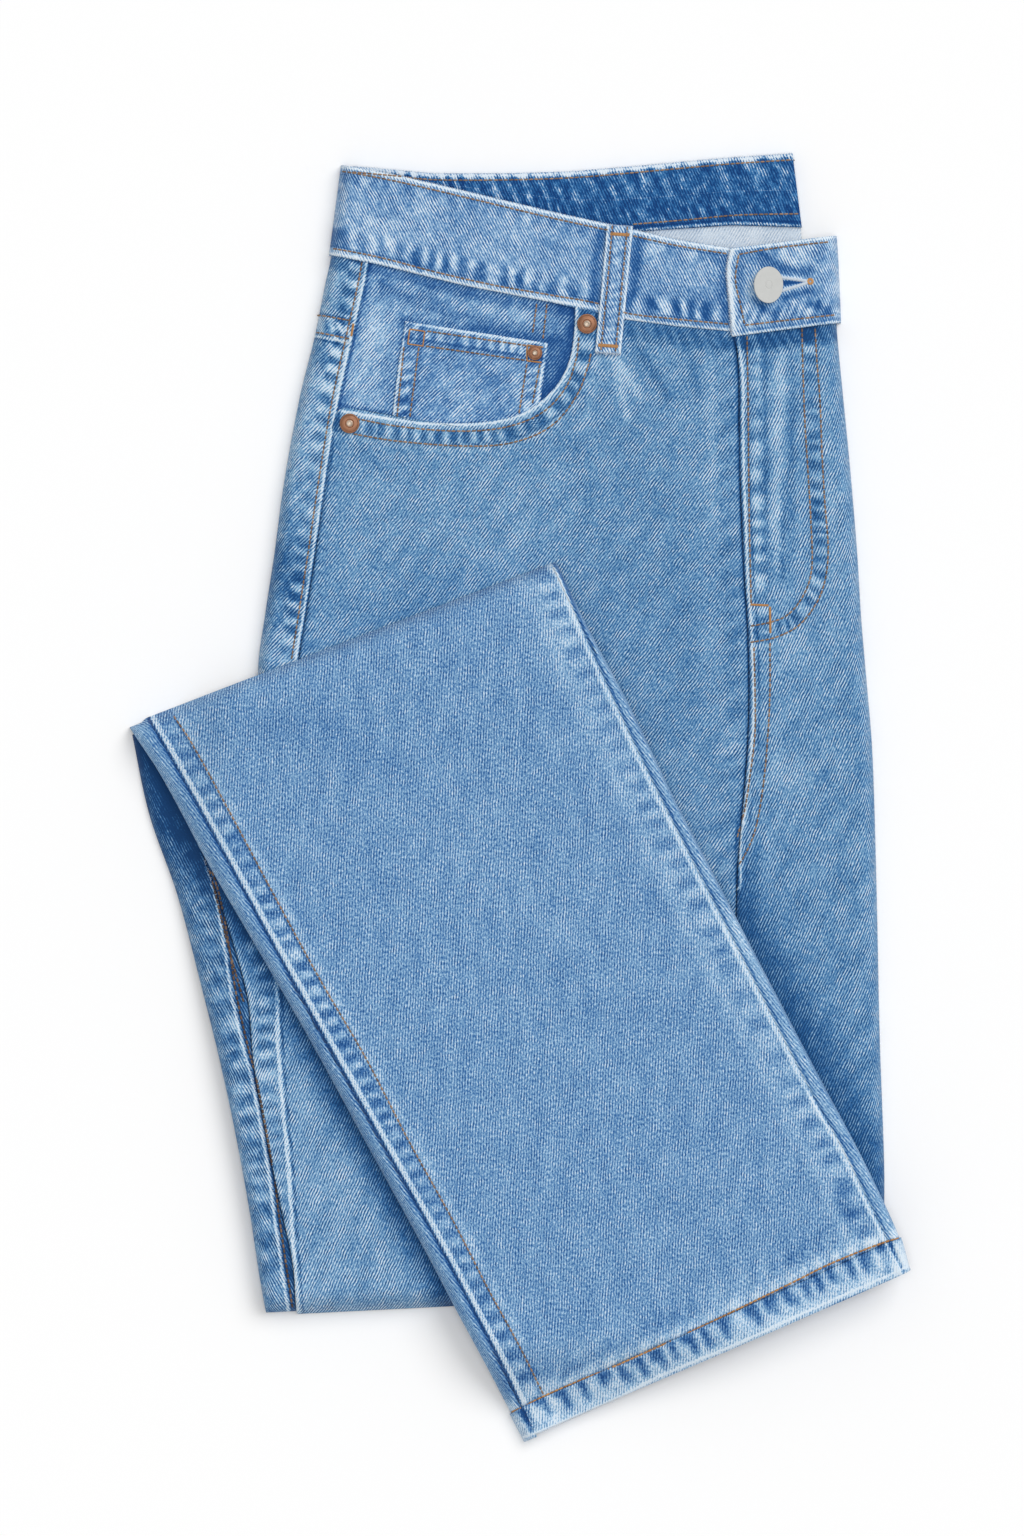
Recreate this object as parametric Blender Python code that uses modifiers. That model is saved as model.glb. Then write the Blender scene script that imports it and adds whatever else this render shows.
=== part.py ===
"""Baggy jeans folded flat: thighs on the floor, knees folded back over them, the right leg folded down on top."""

import math

import bpy
import bmesh

MM = 0.001
CLOTH = 1.3  # one ply of heavy denim as laid, with its fuzz and ripple
GAP = 0.3  # between neighbouring pieces
ROLL = 6.0  # how far in from a folded side the cloth reaches its full height
INNER_ROLL = 2.5  # the same at the side that lies over the thighs
FOLD = 9.0  # the same at the two folds across the legs
HIP_TOP = 11.0
THIGH_TOP = 7.8
BACK_LAYERS = 3.5  # hidden plies under the back waistband
BACK_PLY = 1.2
MID_HEIGHT = 5.2  # the folded-back knees, above the thighs
OUTER_RISE = 1.4  # the left leg wraps outside the right one there
END_HEIGHT = 6.6  # the leg ends on top
LOWER_LEG = 3.9  # how deep under the right hem the left one starts
HEM_PLY = 1.2  # the hem's turned-up second ply
LAP_END = 0.6  # the buttonhole end stands this much above the waistband
LAP = 0.5  # the left front stands this much above the right one it laps
FILLING_RIM = 0.25  # so that a stack of hidden layers has no knife edge
BAND_PLY = 1.1  # the waistband stands this much above the panels
THIGH_LEFT = -124.0
SAG = 46.0  # the upper layers sink to the floor over this width
LEDGE = 8.0  # and stay level this far past the thighs' side
TOP_FOLD = ((-185.2, 33.2), (17.6, 111.6))
BOTTOM_FOLD = ((-120.2, -245.3), (162.9, -231.3))

COLOURS = {
    "front_right_panel": "6c95bc",
    "front_left_panel": "6d95bb",
    "back_right_panel": "6a92ba",
    "yoke": "6b94bb",
    "yoke_inside": "b3c5d7",
    "pocket_facing": "84a8c9",
    "coin_pocket": "7fa4c6",
    "waistband_front": "85a7c7",
    "waistband_left_end": "85a7c7",
    "waistband_back": "4072a1",
    "belt_loop": "86a8c8",
    "right_knee_back": "6e94b8",
    "left_knee_front": "6e94b8",
    "right_leg_front": "769dc1",
    "right_leg_back_outer": "7199be",
    "right_leg_back_inner": "7199be",
    "right_hem": "7ca2c4",
    "right_hem_back": "5d84ab",
    "left_hem": "5b82a9",
    "hidden_thighs": "3f638a",
    "hidden_waist": "3f638a",
    "hidden_knees": "3f638a",
    "hidden_ends": "3f638a",
    "button": "d4d4d3",
    "rivet": "b0714c",
}

# From the waist down. Columns: left fold, outseam, fly seam and inseam, right fold.
BODY = (
    ((-83.6, 300.2), (-69.3, 297.3), (102.1, 260.8), (148.7, 266.5)),
    ((-89.3, 257.4), (-69.8, 253.2), (102.6, 219.9), (150.6, 225.1)),
    ((-92.1, 244.1), (-72.7, 242.2), (104.0, 212.3), (151.5, 215.6)),
    ((-97.4, 218.0), (-80.3, 214.7), (104.5, 195.7), (153.4, 195.7)),
    ((-104.0, 191.4), (-85.5, 184.3), (104.5, 178.1), (155.3, 176.7)),
    ((-111.6, 150.6), (-91.2, 152.9), (105.0, 149.2), (157.7, 149.2)),
    ((-116.4, 115.4), (-95.9, 117.3), (106.4, 114.9), (160.5, 114.9)),
    ((-120.6, 87.9), (-101.2, 87.9), (108.3, 84.1), (162.4, 84.1)),
    ((-124.0, 62.7), (-105.0, 61.3), (109.2, 55.6), (164.8, 56.0)),
    ((-124.4, 17.6), (-105.9, 17.6), (108.3, 19.9), (167.7, 19.9)),
    ((-124.0, -41.8), (-105.0, -41.8), (103.5, -41.8), (169.6, -41.8)),
    ((-123.5, -115.4), (-104.0, -115.4), (102.6, -115.4), (170.5, -115.4)),
    ((-122.5, -181.9), (-103.1, -181.9), (102.6, -177.2), (173.4, -181.9)),
    ((-121.6, -234.5), (-102.1, -233.5), (102.6, -224.5), (172.4, -220.0)),
)
BAND_FOOT = 1  # the row along the waistband's lower edge
YOKE_FOOT = 3  # the row along the yoke seam

# Right front panel, rows from its pocket opening and outseam across to the fly seam.
RIGHT_FRONT = (
    ((26.6, 232.8), (102.6, 218.5)),
    ((25.6, 216.6), (104.0, 211.4)),
    ((22.8, 204.7), (104.5, 201.9)),
    ((17.1, 194.8), (104.5, 192.8)),
    ((7.1, 185.7), (104.5, 183.3)),
    ((-3.8, 180.5), (104.5, 175.3)),
    ((-30.9, 177.2), (105.0, 166.7)),
    ((-67.5, 180.3), (105.0, 157.2)),
    ((-85.5, 183.3), (105.0, 148.7)),
    ((-91.2, 152.9), (105.9, 126.8)),
    ((-95.9, 117.3), (107.3, 103.1)),
    ((-101.2, 87.9), (108.8, 74.6)),
    ((-105.0, 61.3), (109.2, 50.8)),
    ((-105.9, 17.6), (108.3, 19.9)),
    ((-105.0, -41.8), (103.5, -41.8)),
    ((-104.0, -115.4), (102.6, -115.4)),
    ((-103.1, -181.9), (102.6, -177.2)),
    ((-102.1, -233.5), (102.6, -224.5)),
)

# Pocket facing, rows from the outseam to the opening.
FACING = (
    ((-69.6, 252.0), (26.1, 232.8)),
    ((-73.6, 237.5), (25.2, 216.6)),
    ((-77.9, 221.8), (22.3, 204.7)),
    ((-81.1, 207.6), (16.6, 195.2)),
    ((-82.7, 198.1), (6.6, 186.2)),
    ((-83.9, 191.5), (-4.3, 181.2)),
    ((-84.9, 185.9), (-23.3, 178.6)),
)

# Coin pocket on the facing, rows from its top edge down to the opening.
COIN = (
    ((-54.1, 226.1), (13.8, 215.6)),
    ((-56.5, 212.3), (12.3, 203.8)),
    ((-58.4, 196.5), (9.0, 193.0)),
    ((-60.0, 183.5), (1.0, 185.5)),
)

# Waistband seen from inside, a row per place from left to right.
# Columns: its top, its lower edge, the line tucked under the front.
BACK_WAIST = (
    ((-79.0, 299.5), (-79.4, 297.0), (-79.8, 295.0)),
    ((-39.9, 295.4), (-39.9, 290.2), (-39.9, 288.3)),
    ((-3.8, 295.4), (-3.8, 280.2), (-3.8, 278.3)),
    ((41.8, 297.8), (41.8, 270.3), (41.8, 267.9)),
    ((62.2, 299.7), (62.2, 271.2), (62.2, 263.1)),
    ((83.1, 301.6), (83.1, 272.2), (83.1, 258.9)),
    ((105.0, 304.0), (105.0, 273.6), (105.0, 257.0)),
    ((130.2, 305.9), (134.4, 272.6), (135.4, 261.2)),
)

# Knees folded back, from the lower fold up to the top fold. Columns: left fold, edge of the left leg, right fold.
KNEES = (
    ((-120.2, -245.1), (-105.9, -244.4), (160.9, -231.3)),
    ((-123.5, -226.6), (-107.3, -224.7), (153.3, -218.0)),
    ((-127.8, -198.1), (-113.0, -198.1), (141.0, -193.8)),
    ((-134.9, -159.1), (-120.6, -158.2), (126.7, -162.9)),
    ((-142.5, -124.0), (-126.3, -124.0), (108.7, -125.9)),
    ((-150.1, -93.6), (-129.2, -93.6), (92.5, -96.4)),
    ((-162.4, -47.0), (-142.0, -48.0), (68.8, -48.9)),
    ((-174.2, -11.2), (-156.3, -8.1), (43.1, 3.3)),
    ((-179.0, 24.1), (-163.4, 26.1), (11.0, 98.1)),
)

# Right leg's end, from the top fold down to the hem. Columns: outer fold, outer seam, inner seam, inner fold.
ENDS = (
    ((-185.2, 33.2), (-175.8, 36.8), (14.7, 110.5), (17.6, 111.6)),
    ((-170.0, 10.0), (-157.7, 14.4), (28.5, 83.2), (30.9, 84.1)),
    ((-145.8, -34.7), (-132.5, -29.7), (47.9, 38.7), (53.7, 40.9)),
    ((-123.5, -73.1), (-111.1, -68.6), (66.5, -4.1), (74.1, -1.4)),
    ((-100.2, -113.5), (-88.3, -108.7), (84.1, -38.2), (91.7, -35.1)),
    ((-72.2, -164.8), (-59.4, -159.4), (109.7, -87.7), (117.3, -84.5)),
    ((-44.6, -215.2), (-32.8, -210.1), (135.4, -137.9), (143.4, -134.4)),
    ((-29.4, -244.1), (-18.1, -239.1), (149.6, -165.3), (158.2, -162.0)),
    ((-16.6, -267.9), (-7.6, -263.9), (162.9, -187.8), (169.6, -184.8)),
    ((-3.8, -293.1), (3.8, -289.6), (176.2, -211.0), (180.5, -209.0)),
    ((2.4, -305.4), (10.0, -302.0), (179.5, -224.9), (184.1, -222.8)),
)
HEM_ROW = 9  # the row along the hem stitch

LOOP_TOP = (48.0, 270.8)
LOOP_FOOT = (42.2, 210.9)
LOOP_WIDTH = 12.4
BUTTON_AT = (117.8, 243.2)
# Columns: name, centre, radius, height of the cloth under it above the panels.
RIVETS = (
    ("rivet_outer", (-80.4, 177.4), 4.7, 0.0),
    ("rivet_opening", (32.3, 224.7), 4.7, 0.0),
    ("rivet_coin", (7.6, 210.9), 3.5, 0.8),
)


def ease(share):
    """0 to 1, level at both ends."""
    share = min(1.0, max(0.0, share))
    return share * share * (3.0 - 2.0 * share)


def round_over(share):
    """A quarter circle, 0 to 1, for cloth turning over a fold."""
    share = min(1.0, max(0.0, share))
    return math.sqrt(1.0 - (1.0 - share) ** 2)


def inside_line(line, x, y):
    """How far a point lies to the left of a line, in mm."""
    (ax, ay), (bx, by) = line
    span = math.hypot(bx - ax, by - ay)
    return ((bx - ax) * (y - ay) - (by - ay) * (x - ax)) / span


def body_height(x, y):
    """Hips are thicker than thighs."""
    return THIGH_TOP + (HIP_TOP - THIGH_TOP) * ease((y + 60.0) / 160.0)


def floor_level(x, y):
    return 0.0


def over_thighs(x, y):
    """How far the thighs carry what lies on them, sinking to the floor at their left."""
    return (body_height(x, y) + LAP + GAP) * ease((x - THIGH_LEFT + SAG) / (SAG - LEDGE))


def under_knees(x, y):
    return over_thighs(x, y) * round_over((inside_line(BOTTOM_FOLD, x, y)) / FOLD)


def knee_height(x, y):
    return MID_HEIGHT


def under_ends(x, y):
    """The leg's end lies on the knees, hangs to the floor past the lower fold and turns over the top fold."""
    past_fold = ease((inside_line(BOTTOM_FOLD, x, y) + 58.0) / 42.0)
    over_knees = (MID_HEIGHT + OUTER_RISE + 5.0 * GAP) * round_over(-inside_line(TOP_FOLD, x, y) / FOLD)
    return (over_thighs(x, y) + over_knees) * past_fold


def end_height(x, y):
    return END_HEIGHT


def between(rows, v):
    """The row this far down a table, its points interpolated."""
    k = min(int(v), len(rows) - 2)
    f = v - k
    return [
        (a[0] + (b[0] - a[0]) * f, a[1] + (b[1] - a[1]) * f)
        for a, b in zip(rows[k], rows[k + 1])
    ]


def pulled_in(distance, radius, depth):
    """For a skin this deep under the outside: how far it shifts inward near a fold, and its share of the height."""
    if radius <= 0.0 or distance >= radius:
        return 0.0, 1.0
    turn = math.acos(1.0 - max(0.0, distance) / radius)
    return depth * math.cos(turn), math.sin(turn)


def skin_point(rows, v, station, depth, base, height, rolls):
    """A point of a cloth surface. A station counts columns and adds mm along the row; rolls are left, right, first row."""
    row = between(rows, v)
    (ax, ay), (bx, by) = row[0], row[-1]
    span = math.hypot(bx - ax, by - ay)
    way_x, way_y = (bx - ax) / span, (by - ay) / span
    column, along = station
    k = min(int(column), len(row) - 2)
    f = column - k
    x = row[k][0] + (row[k + 1][0] - row[k][0]) * f
    y = row[k][1] + (row[k + 1][1] - row[k][1]) * f
    place = (x - ax) * way_x + (y - ay) * way_y + along
    left_roll, right_roll, first_roll = rolls
    from_left, left_share = pulled_in(place, left_roll, depth)
    from_right, right_share = pulled_in(span - place, right_roll, depth)
    along += from_left - from_right
    x += way_x * along
    y += way_y * along
    first_share = 1.0
    if first_roll:
        step = first_step(rows)
        shift, first_share = pulled_in(v * step, first_roll, depth)
        x += (rows[1][0][0] - rows[0][0][0]) / step * shift
        y += (rows[1][0][1] - rows[0][0][1]) / step * shift
    rise = (height(x, y) - depth) * left_share * right_share * first_share
    return x, y, base(x, y) + rise


def roll_stations(radius, steps=4):
    """Distances in from a folded side, closer together where the cloth turns down."""
    return [radius * (1.0 - math.cos(math.radians(90.0) * k / steps)) for k in range(steps + 1)]


def strip(column, shares, left_roll=0.0, right_roll=0.0):
    """Stations from one column of a table to the next, half the gap in from a seam."""
    left = [(column, d) for d in roll_stations(left_roll)] if left_roll else [(column, GAP / 2)]
    right = [(column + 1, -d) for d in roll_stations(right_roll)] if right_roll else [(column + 1, -GAP / 2)]
    return left + [(column + share, 0.0) for share in shares] + right[::-1]


def whole(strips):
    """The stations of neighbouring strips joined into one row, a single one at each seam."""
    joined = list(strips[0])
    for nearer in strips[1:]:
        joined = joined[:-1] + [(joined[-1][0], 0.0)] + list(nearer[1:])
    return joined


def even(count):
    return [k / count for k in range(1, count)]


def first_step(rows):
    """The length of the first row interval, down the left side."""
    return math.hypot(rows[1][0][0] - rows[0][0][0], rows[1][0][1] - rows[0][0][1])


def down(first, last):
    """A station at every row."""
    return [float(first + k) for k in range(last - first + 1)]


def from_fold(rows, last):
    """Stations at every half row, and closer together where the cloth turns over the fold at the first row."""
    turn = [d / first_step(rows) for d in roll_stations(FOLD)]
    halves = [k / 2.0 for k in range(int(round(last * 2.0)) + 1)]
    return turn + [v for v in halves if v > turn[-1] + 0.15]


def material_for(name):
    slot = "rivet" if name.startswith("rivet") else name
    code = COLOURS[slot]
    channels = []
    for k in (0, 2, 4):
        c = int(code[k : k + 2], 16) / 255.0
        channels.append(c / 12.92 if c <= 0.04045 else ((c + 0.055) / 1.055) ** 2.4)
    metal = slot in ("button", "rivet")
    made = bpy.data.materials.new(name)
    made.use_nodes = True
    shader = made.node_tree.nodes["Principled BSDF"]
    shader.inputs["Base Color"].default_value = (*channels, 1.0)
    shader.inputs["Roughness"].default_value = 0.35 if metal else 0.92
    shader.inputs["Metallic"].default_value = 1.0 if metal else 0.0
    return made


def add_object(name, points, faces, collection):
    mesh = bpy.data.meshes.new(name)
    mesh.from_pydata([(x * MM, y * MM, z * MM) for x, y, z in points], [], faces)
    shape = bmesh.new()
    shape.from_mesh(mesh)
    if shape.calc_volume(signed=True) < 0.0:
        bmesh.ops.reverse_faces(shape, faces=shape.faces)
    shape.to_mesh(mesh)
    shape.free()
    mesh.materials.append(material_for(name))
    made = bpy.data.objects.new(name, mesh)
    collection.objects.link(made)
    return made


def wall_faces(across_count, down_count):
    """Two grids of points, one above the other, closed round their edge. Every quad is cut the same way."""
    lower = across_count * down_count
    faces = []
    for j in range(down_count - 1):
        for i in range(across_count - 1):
            a = j * across_count + i
            b, c, d = a + 1, a + across_count + 1, a + across_count
            faces += [(a, b, c), (a, c, d)]
            faces += [(lower + a, lower + c, lower + b), (lower + a, lower + d, lower + c)]
    rim = [i for i in range(across_count)]
    rim += [j * across_count + across_count - 1 for j in range(1, down_count)]
    rim += [(down_count - 1) * across_count + i for i in range(across_count - 2, -1, -1)]
    rim += [j * across_count for j in range(down_count - 2, 0, -1)]
    for k, a in enumerate(rim):
        b = rim[(k + 1) % len(rim)]
        faces += [(a, lower + a, lower + b), (a, lower + b, b)]
    return faces


def cloth(name, rows, steps, stations, skin, collection, depths=(0.0, CLOTH)):
    """A wall between two depths under the outside of a stretch of cloth."""
    base, height, rolls = skin
    points = []
    for depth in depths:
        for v in steps:
            points += [skin_point(rows, v, s, depth, base, height, rolls) for s in stations]
    return add_object(name, points, wall_faces(len(stations), len(steps)), collection)


def filling(name, rows, steps, stations, skin, collection, depth):
    """The layers hidden inside a stretch, as one solid down to what the stretch lies on."""
    base, height, rolls = skin
    top = []
    for v in steps:
        top += [skin_point(rows, v, s, depth, base, height, rolls) for s in stations]
    foot = [(x, y, base(x, y)) for x, y, _ in top]
    top = [(x, y, max(z, base(x, y) + FILLING_RIM)) for x, y, z in top]
    return add_object(name, top + foot, wall_faces(len(stations), len(steps)), collection)


def turned(name, profile, centre, foot, collection, steps=20):
    """A small round part from its half section, as radius and height pairs."""
    mesh = bpy.data.meshes.new(name)
    points = [(r * MM, 0.0, z * MM) for r, z in profile]
    mesh.from_pydata(points, [(k, k + 1) for k in range(len(points) - 1)], [])
    mesh.materials.append(material_for(name))
    made = bpy.data.objects.new(name, mesh)
    collection.objects.link(made)
    spin = made.modifiers.new("Screw", "SCREW")
    spin.axis = "Z"
    spin.steps = steps
    spin.render_steps = steps
    spin.use_merge_vertices = True
    spin.merge_threshold = 0.00001
    spin.use_normal_calculate = True
    made.location = (centre[0] * MM, centre[1] * MM, foot * MM)
    return made


for old in list(bpy.data.objects):
    bpy.data.objects.remove(old, do_unlink=True)
parts = bpy.data.collections.new("baggy_jeans")
bpy.context.scene.collection.children.link(parts)

flat = (floor_level, body_height, (0.0, 0.0, 0.0))
body = (floor_level, body_height, (ROLL, ROLL, 0.0))
last = len(BODY) - 1
seam_step = 0.012  # half a gap, as a share of a row's height
back_strip = strip(0, even(2), ROLL)
front_strip = strip(1, even(6))
left_strip = strip(2, even(3), 0.0, ROLL)
single = strip(0, even(6))

# Hips and thighs: the right front lies on top, the left front wraps the right side.
body_steps = [BAND_FOOT + seam_step] + down(BAND_FOOT + 1, last)
below_yoke = [YOKE_FOOT + seam_step] + down(YOKE_FOOT + 1, last)
cloth("front_right_panel", RIGHT_FRONT, down(0, len(RIGHT_FRONT) - 1), single, flat, parts)
cloth("front_left_panel", BODY, body_steps, left_strip, body, parts, (-LAP, CLOTH))
cloth("back_right_panel", BODY, below_yoke, back_strip, body, parts)
cloth("yoke", BODY, [BAND_FOOT + seam_step, 2.0, YOKE_FOOT - seam_step], back_strip, body, parts)
cloth("pocket_facing", FACING, down(0, len(FACING) - 1), single, flat, parts, (0.5, CLOTH + 0.2))
cloth("coin_pocket", COIN, down(0, len(COIN) - 1), single, flat, parts, (-0.8, 0.2))

# Waistband: two plies, its left end lapping over the button end and wrapping the right side.
band_steps = [0.0, 0.5, BAND_FOOT - seam_step]
band = whole([back_strip, front_strip])
cloth("waistband_front", BODY, band_steps, band, body, parts, (-BAND_PLY, CLOTH))
cloth("waistband_left_end", BODY, band_steps, left_strip, body, parts, (-BAND_PLY - LAP_END, CLOTH))

back_rows = tuple(zip(*BACK_WAIST))


def back_waist(name, lines, left, foot, crown):
    """A level strip between two lines of the back waist, from this column to the right end."""
    points = []
    for z in (crown, foot):
        for line in lines:
            nudge = -GAP / 2 if line == lines[0] and line else 0.0
            points += [(x, y + nudge, z) for x, y in back_rows[line][left:]]
    return add_object(name, points, wall_faces(len(BACK_WAIST) - left, 2), parts)


back_waist("waistband_back", (0, 1), 0, BACK_LAYERS + GAP, BACK_LAYERS + GAP + 2.0 * BACK_PLY)
back_waist("yoke_inside", (1, 2), 3, BACK_LAYERS + GAP, BACK_LAYERS + GAP + BACK_PLY + 0.2)
back_waist("hidden_waist", (0, 2), 0, 0.0, BACK_LAYERS)

inner_steps = [0.17, 0.5, 1.0] + down(2, last)
filling(
    "hidden_thighs", BODY, inner_steps, whole([back_strip, front_strip, left_strip]), body, parts,
    CLOTH + GAP + 0.2,
)

# Belt loop, lying on the band and the panel.
loop_top = HIP_TOP + BAND_PLY + GAP
loop_low = HIP_TOP + GAP
loop_rows = (
    (LOOP_TOP, loop_top),
    ((45.4, 243.5), loop_top),
    ((43.3, 222.0), loop_top),
    (LOOP_FOOT, loop_low + 0.9),
)
loop_points = []
for rise in (1.6, 0.0):
    for (x, y), z in loop_rows:
        loop_points += [(x - LOOP_WIDTH / 2, y, z + rise), (x + LOOP_WIDTH / 2, y - 1.0, z + rise)]
add_object("belt_loop", loop_points, wall_faces(2, 4), parts)

# Button through the lapped end, and the rivets at the pocket's corners.
button_foot = HIP_TOP + BAND_PLY + LAP_END + GAP
turned(
    "button", ((0.0, 0.0), (5.0, 0.0), (5.0, 1.2), (8.0, 1.6), (8.6, 2.4), (7.9, 3.1), (6.6, 2.8), (0.0, 2.8)),
    BUTTON_AT, button_foot, parts, 28,
)
for name, centre, radius, lift in RIVETS:
    foot = HIP_TOP + lift + GAP
    rim = ((0.0, 0.0), (radius, 0.0), (radius, 0.5), (radius * 0.75, 1.1))
    burr = ((radius * 0.45, 0.9), (radius * 0.3, 1.5), (0.0, 1.6))
    turned(name, rim + burr, centre, foot, parts)

# Knees folded back: the right leg's strip shows at the left, the left leg wraps outside it.
knee_last = len(KNEES) - 1
knees = (under_knees, knee_height, (ROLL, ROLL, FOLD))
knee_steps = from_fold(KNEES, knee_last)
knee_strip = strip(0, even(2), ROLL)
leg_strip = strip(1, [0.05, 0.1, 0.15, 0.2, 0.3, 0.45, 0.6, 0.75, 0.9], 0.0, ROLL)
cloth("right_knee_back", KNEES, knee_steps, knee_strip, knees, parts)
cloth("left_knee_front", KNEES, knee_steps, leg_strip, knees, parts, (-OUTER_RISE, CLOTH))
filling("hidden_knees", KNEES, knee_steps, whole([knee_strip, leg_strip]), knees, parts, CLOTH + GAP)

# The right leg's end on top: front panel between two seams, the back panel rolling over at both sides.
end_last = len(ENDS) - 1
ends = (under_ends, end_height, (ROLL, INNER_ROLL, FOLD))
end_steps = from_fold(ENDS, HEM_ROW)
outer_strip = strip(0, even(2), ROLL)
panel_strip = strip(1, [0.04, 0.08, 0.13, 0.18, 0.25, 0.4, 0.6, 0.8])
inner_strip = strip(2, even(1), 0.0, INNER_ROLL)
end_row = whole([outer_strip, panel_strip, inner_strip])
cloth("right_leg_front", ENDS, end_steps, panel_strip, ends, parts)
cloth("right_leg_back_outer", ENDS, end_steps, outer_strip, ends, parts)
cloth("right_leg_back_inner", ENDS, end_steps, inner_strip, ends, parts)
hem_end = (under_ends, end_height, (ROLL, INNER_ROLL, 0.0))
hem_steps = [HEM_ROW + 0.02, HEM_ROW + 0.5, end_last]
cloth("right_hem", ENDS, hem_steps, end_row, hem_end, parts, (-HEM_PLY, CLOTH))
inner_end_steps = from_fold(ENDS, HEM_ROW - 0.5)
filling("hidden_ends", ENDS, inner_end_steps, end_row, ends, parts, CLOTH + GAP)

# Under the hem: its other side, and the left leg's hem at the bottom.
ply_row = [(0, ROLL + 1.0)] + end_row[6:-5] + [(3, -INNER_ROLL - 1.0)]
ply_steps = [HEM_ROW - 0.48, HEM_ROW + 0.3, end_last - 0.04]
cloth("right_hem_back", ENDS, ply_steps, ply_row, hem_end, parts, (CLOTH + 3.0 * GAP, 2.0 * CLOTH + 3.0 * GAP))
cloth("left_hem", ENDS, ply_steps, ply_row, hem_end, parts, (LOWER_LEG, LOWER_LEG + 2.5))
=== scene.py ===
import math

import bpy
import numpy as np
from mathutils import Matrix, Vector
from mathutils.bvhtree import BVHTree


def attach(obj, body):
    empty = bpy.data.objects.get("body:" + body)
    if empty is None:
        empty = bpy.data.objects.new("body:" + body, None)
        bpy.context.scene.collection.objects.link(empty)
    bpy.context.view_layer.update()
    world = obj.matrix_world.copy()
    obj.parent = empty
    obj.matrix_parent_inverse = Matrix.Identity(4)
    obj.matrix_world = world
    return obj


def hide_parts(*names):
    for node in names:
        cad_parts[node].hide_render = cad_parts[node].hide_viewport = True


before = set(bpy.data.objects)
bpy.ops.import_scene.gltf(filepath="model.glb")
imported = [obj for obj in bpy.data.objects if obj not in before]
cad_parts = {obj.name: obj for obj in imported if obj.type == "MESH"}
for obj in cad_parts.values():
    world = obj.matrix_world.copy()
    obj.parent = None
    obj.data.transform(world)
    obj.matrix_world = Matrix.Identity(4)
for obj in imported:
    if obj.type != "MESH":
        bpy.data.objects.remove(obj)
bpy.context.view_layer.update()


# Camera: straight above, as the photograph was taken, with a long lens so that nothing leans outwards. It
# takes in the floor that the photograph shows. Sizes are in mm, unless a comment says metres.
MM = 0.001
PHOTO_HIGH = 729.6  # mm of floor from the top of the picture to its foot
CAMERA_RISE = 6000.0
SENSOR = 36.0
CAMERA_AT = (-3.3, 13.8, CAMERA_RISE + 10.0)


def put_in_scene(name, data):
    made = bpy.data.objects.new(name, data)
    bpy.context.scene.collection.objects.link(made)
    return made


camera_data = bpy.data.cameras.new("camera")
camera_data.sensor_width = SENSOR
camera_data.lens = SENSOR * CAMERA_RISE / PHOTO_HIGH
camera_data.clip_end = 100.0
camera = put_in_scene("camera", camera_data)
camera.location = [place * MM for place in CAMERA_AT]
bpy.context.scene.camera = camera
bpy.context.scene.view_settings.view_transform = "Standard"


# Light and floor: a white room, a lamp overhead, and a wide one from the upper right that leaves soft
# shadows at the left and below. The floor is plain matt white and shows nothing but these.
def light_colour(code):
    """An sRGB hex code as the linear colour that Blender works in."""
    channels = [int(code[k : k + 2], 16) / 255.0 for k in (0, 2, 4)]
    return [c / 12.92 if c <= 0.04045 else ((c + 0.055) / 1.055) ** 2.4 for c in channels]


def add_node(tree, kind, links=(), **settings):
    """A shader node with its settings, and its inputs set or linked."""
    made = tree.nodes.new(kind)
    for key, value in settings.items():
        setattr(made, key, value)
    for key, value in dict(links).items():
        if isinstance(value, bpy.types.NodeSocket):
            tree.links.new(value, made.inputs[key])
        else:
            made.inputs[key].default_value = value
    return made


def new_material(name):
    """A material with its node tree and shader."""
    made = bpy.data.materials.new(name)
    made.use_nodes = True
    return made, made.node_tree, made.node_tree.nodes["Principled BSDF"]


ROOM_LIGHT = 0.42
LAMPS = (
    # name, angle it spans and turn about x and y, in degrees, and strength
    ("wide_lamp", 38.0, (-27.0, 31.0), 1.30),
    ("ceiling_lamp", 26.0, (0.0, 0.0), 0.82),
)
world = bpy.data.worlds.new("room")
world.use_nodes = True
room = world.node_tree.nodes["Background"]
room.inputs["Color"].default_value = (*light_colour("ffffff"), 1.0)
room.inputs["Strength"].default_value = ROOM_LIGHT
bpy.context.scene.world = world

for name, spread, turn, energy in LAMPS:
    lamp_data = bpy.data.lights.new(name, "SUN")
    lamp_data.angle = math.radians(spread)
    lamp_data.energy = energy
    lamp = put_in_scene(name, lamp_data)
    lamp.rotation_euler = (math.radians(turn[0]), math.radians(turn[1]), 0.0)

FLOOR_HALF = 3000.0
FLOOR_DROP = 0.4  # keeps the floor clear of the cloth's flat underside
floor_mesh = bpy.data.meshes.new("floor")
floor_corners = [
    (a * FLOOR_HALF * MM, b * FLOOR_HALF * MM, -FLOOR_DROP * MM)
    for a, b in ((-1, -1), (1, -1), (1, 1), (-1, 1))
]
floor_mesh.from_pydata(floor_corners, [], [(0, 1, 2, 3)])
floor = put_in_scene("floor", floor_mesh)
floor_card, _, floor_shader = new_material("floor_card")
floor_shader.inputs["Base Color"].default_value = (*light_colour("ffffff"), 1.0)
floor_shader.inputs["Roughness"].default_value = 1.0
floor_shader.inputs["Specular IOR Level"].default_value = 0.0
floor_mesh.materials.append(floor_card)


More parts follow.
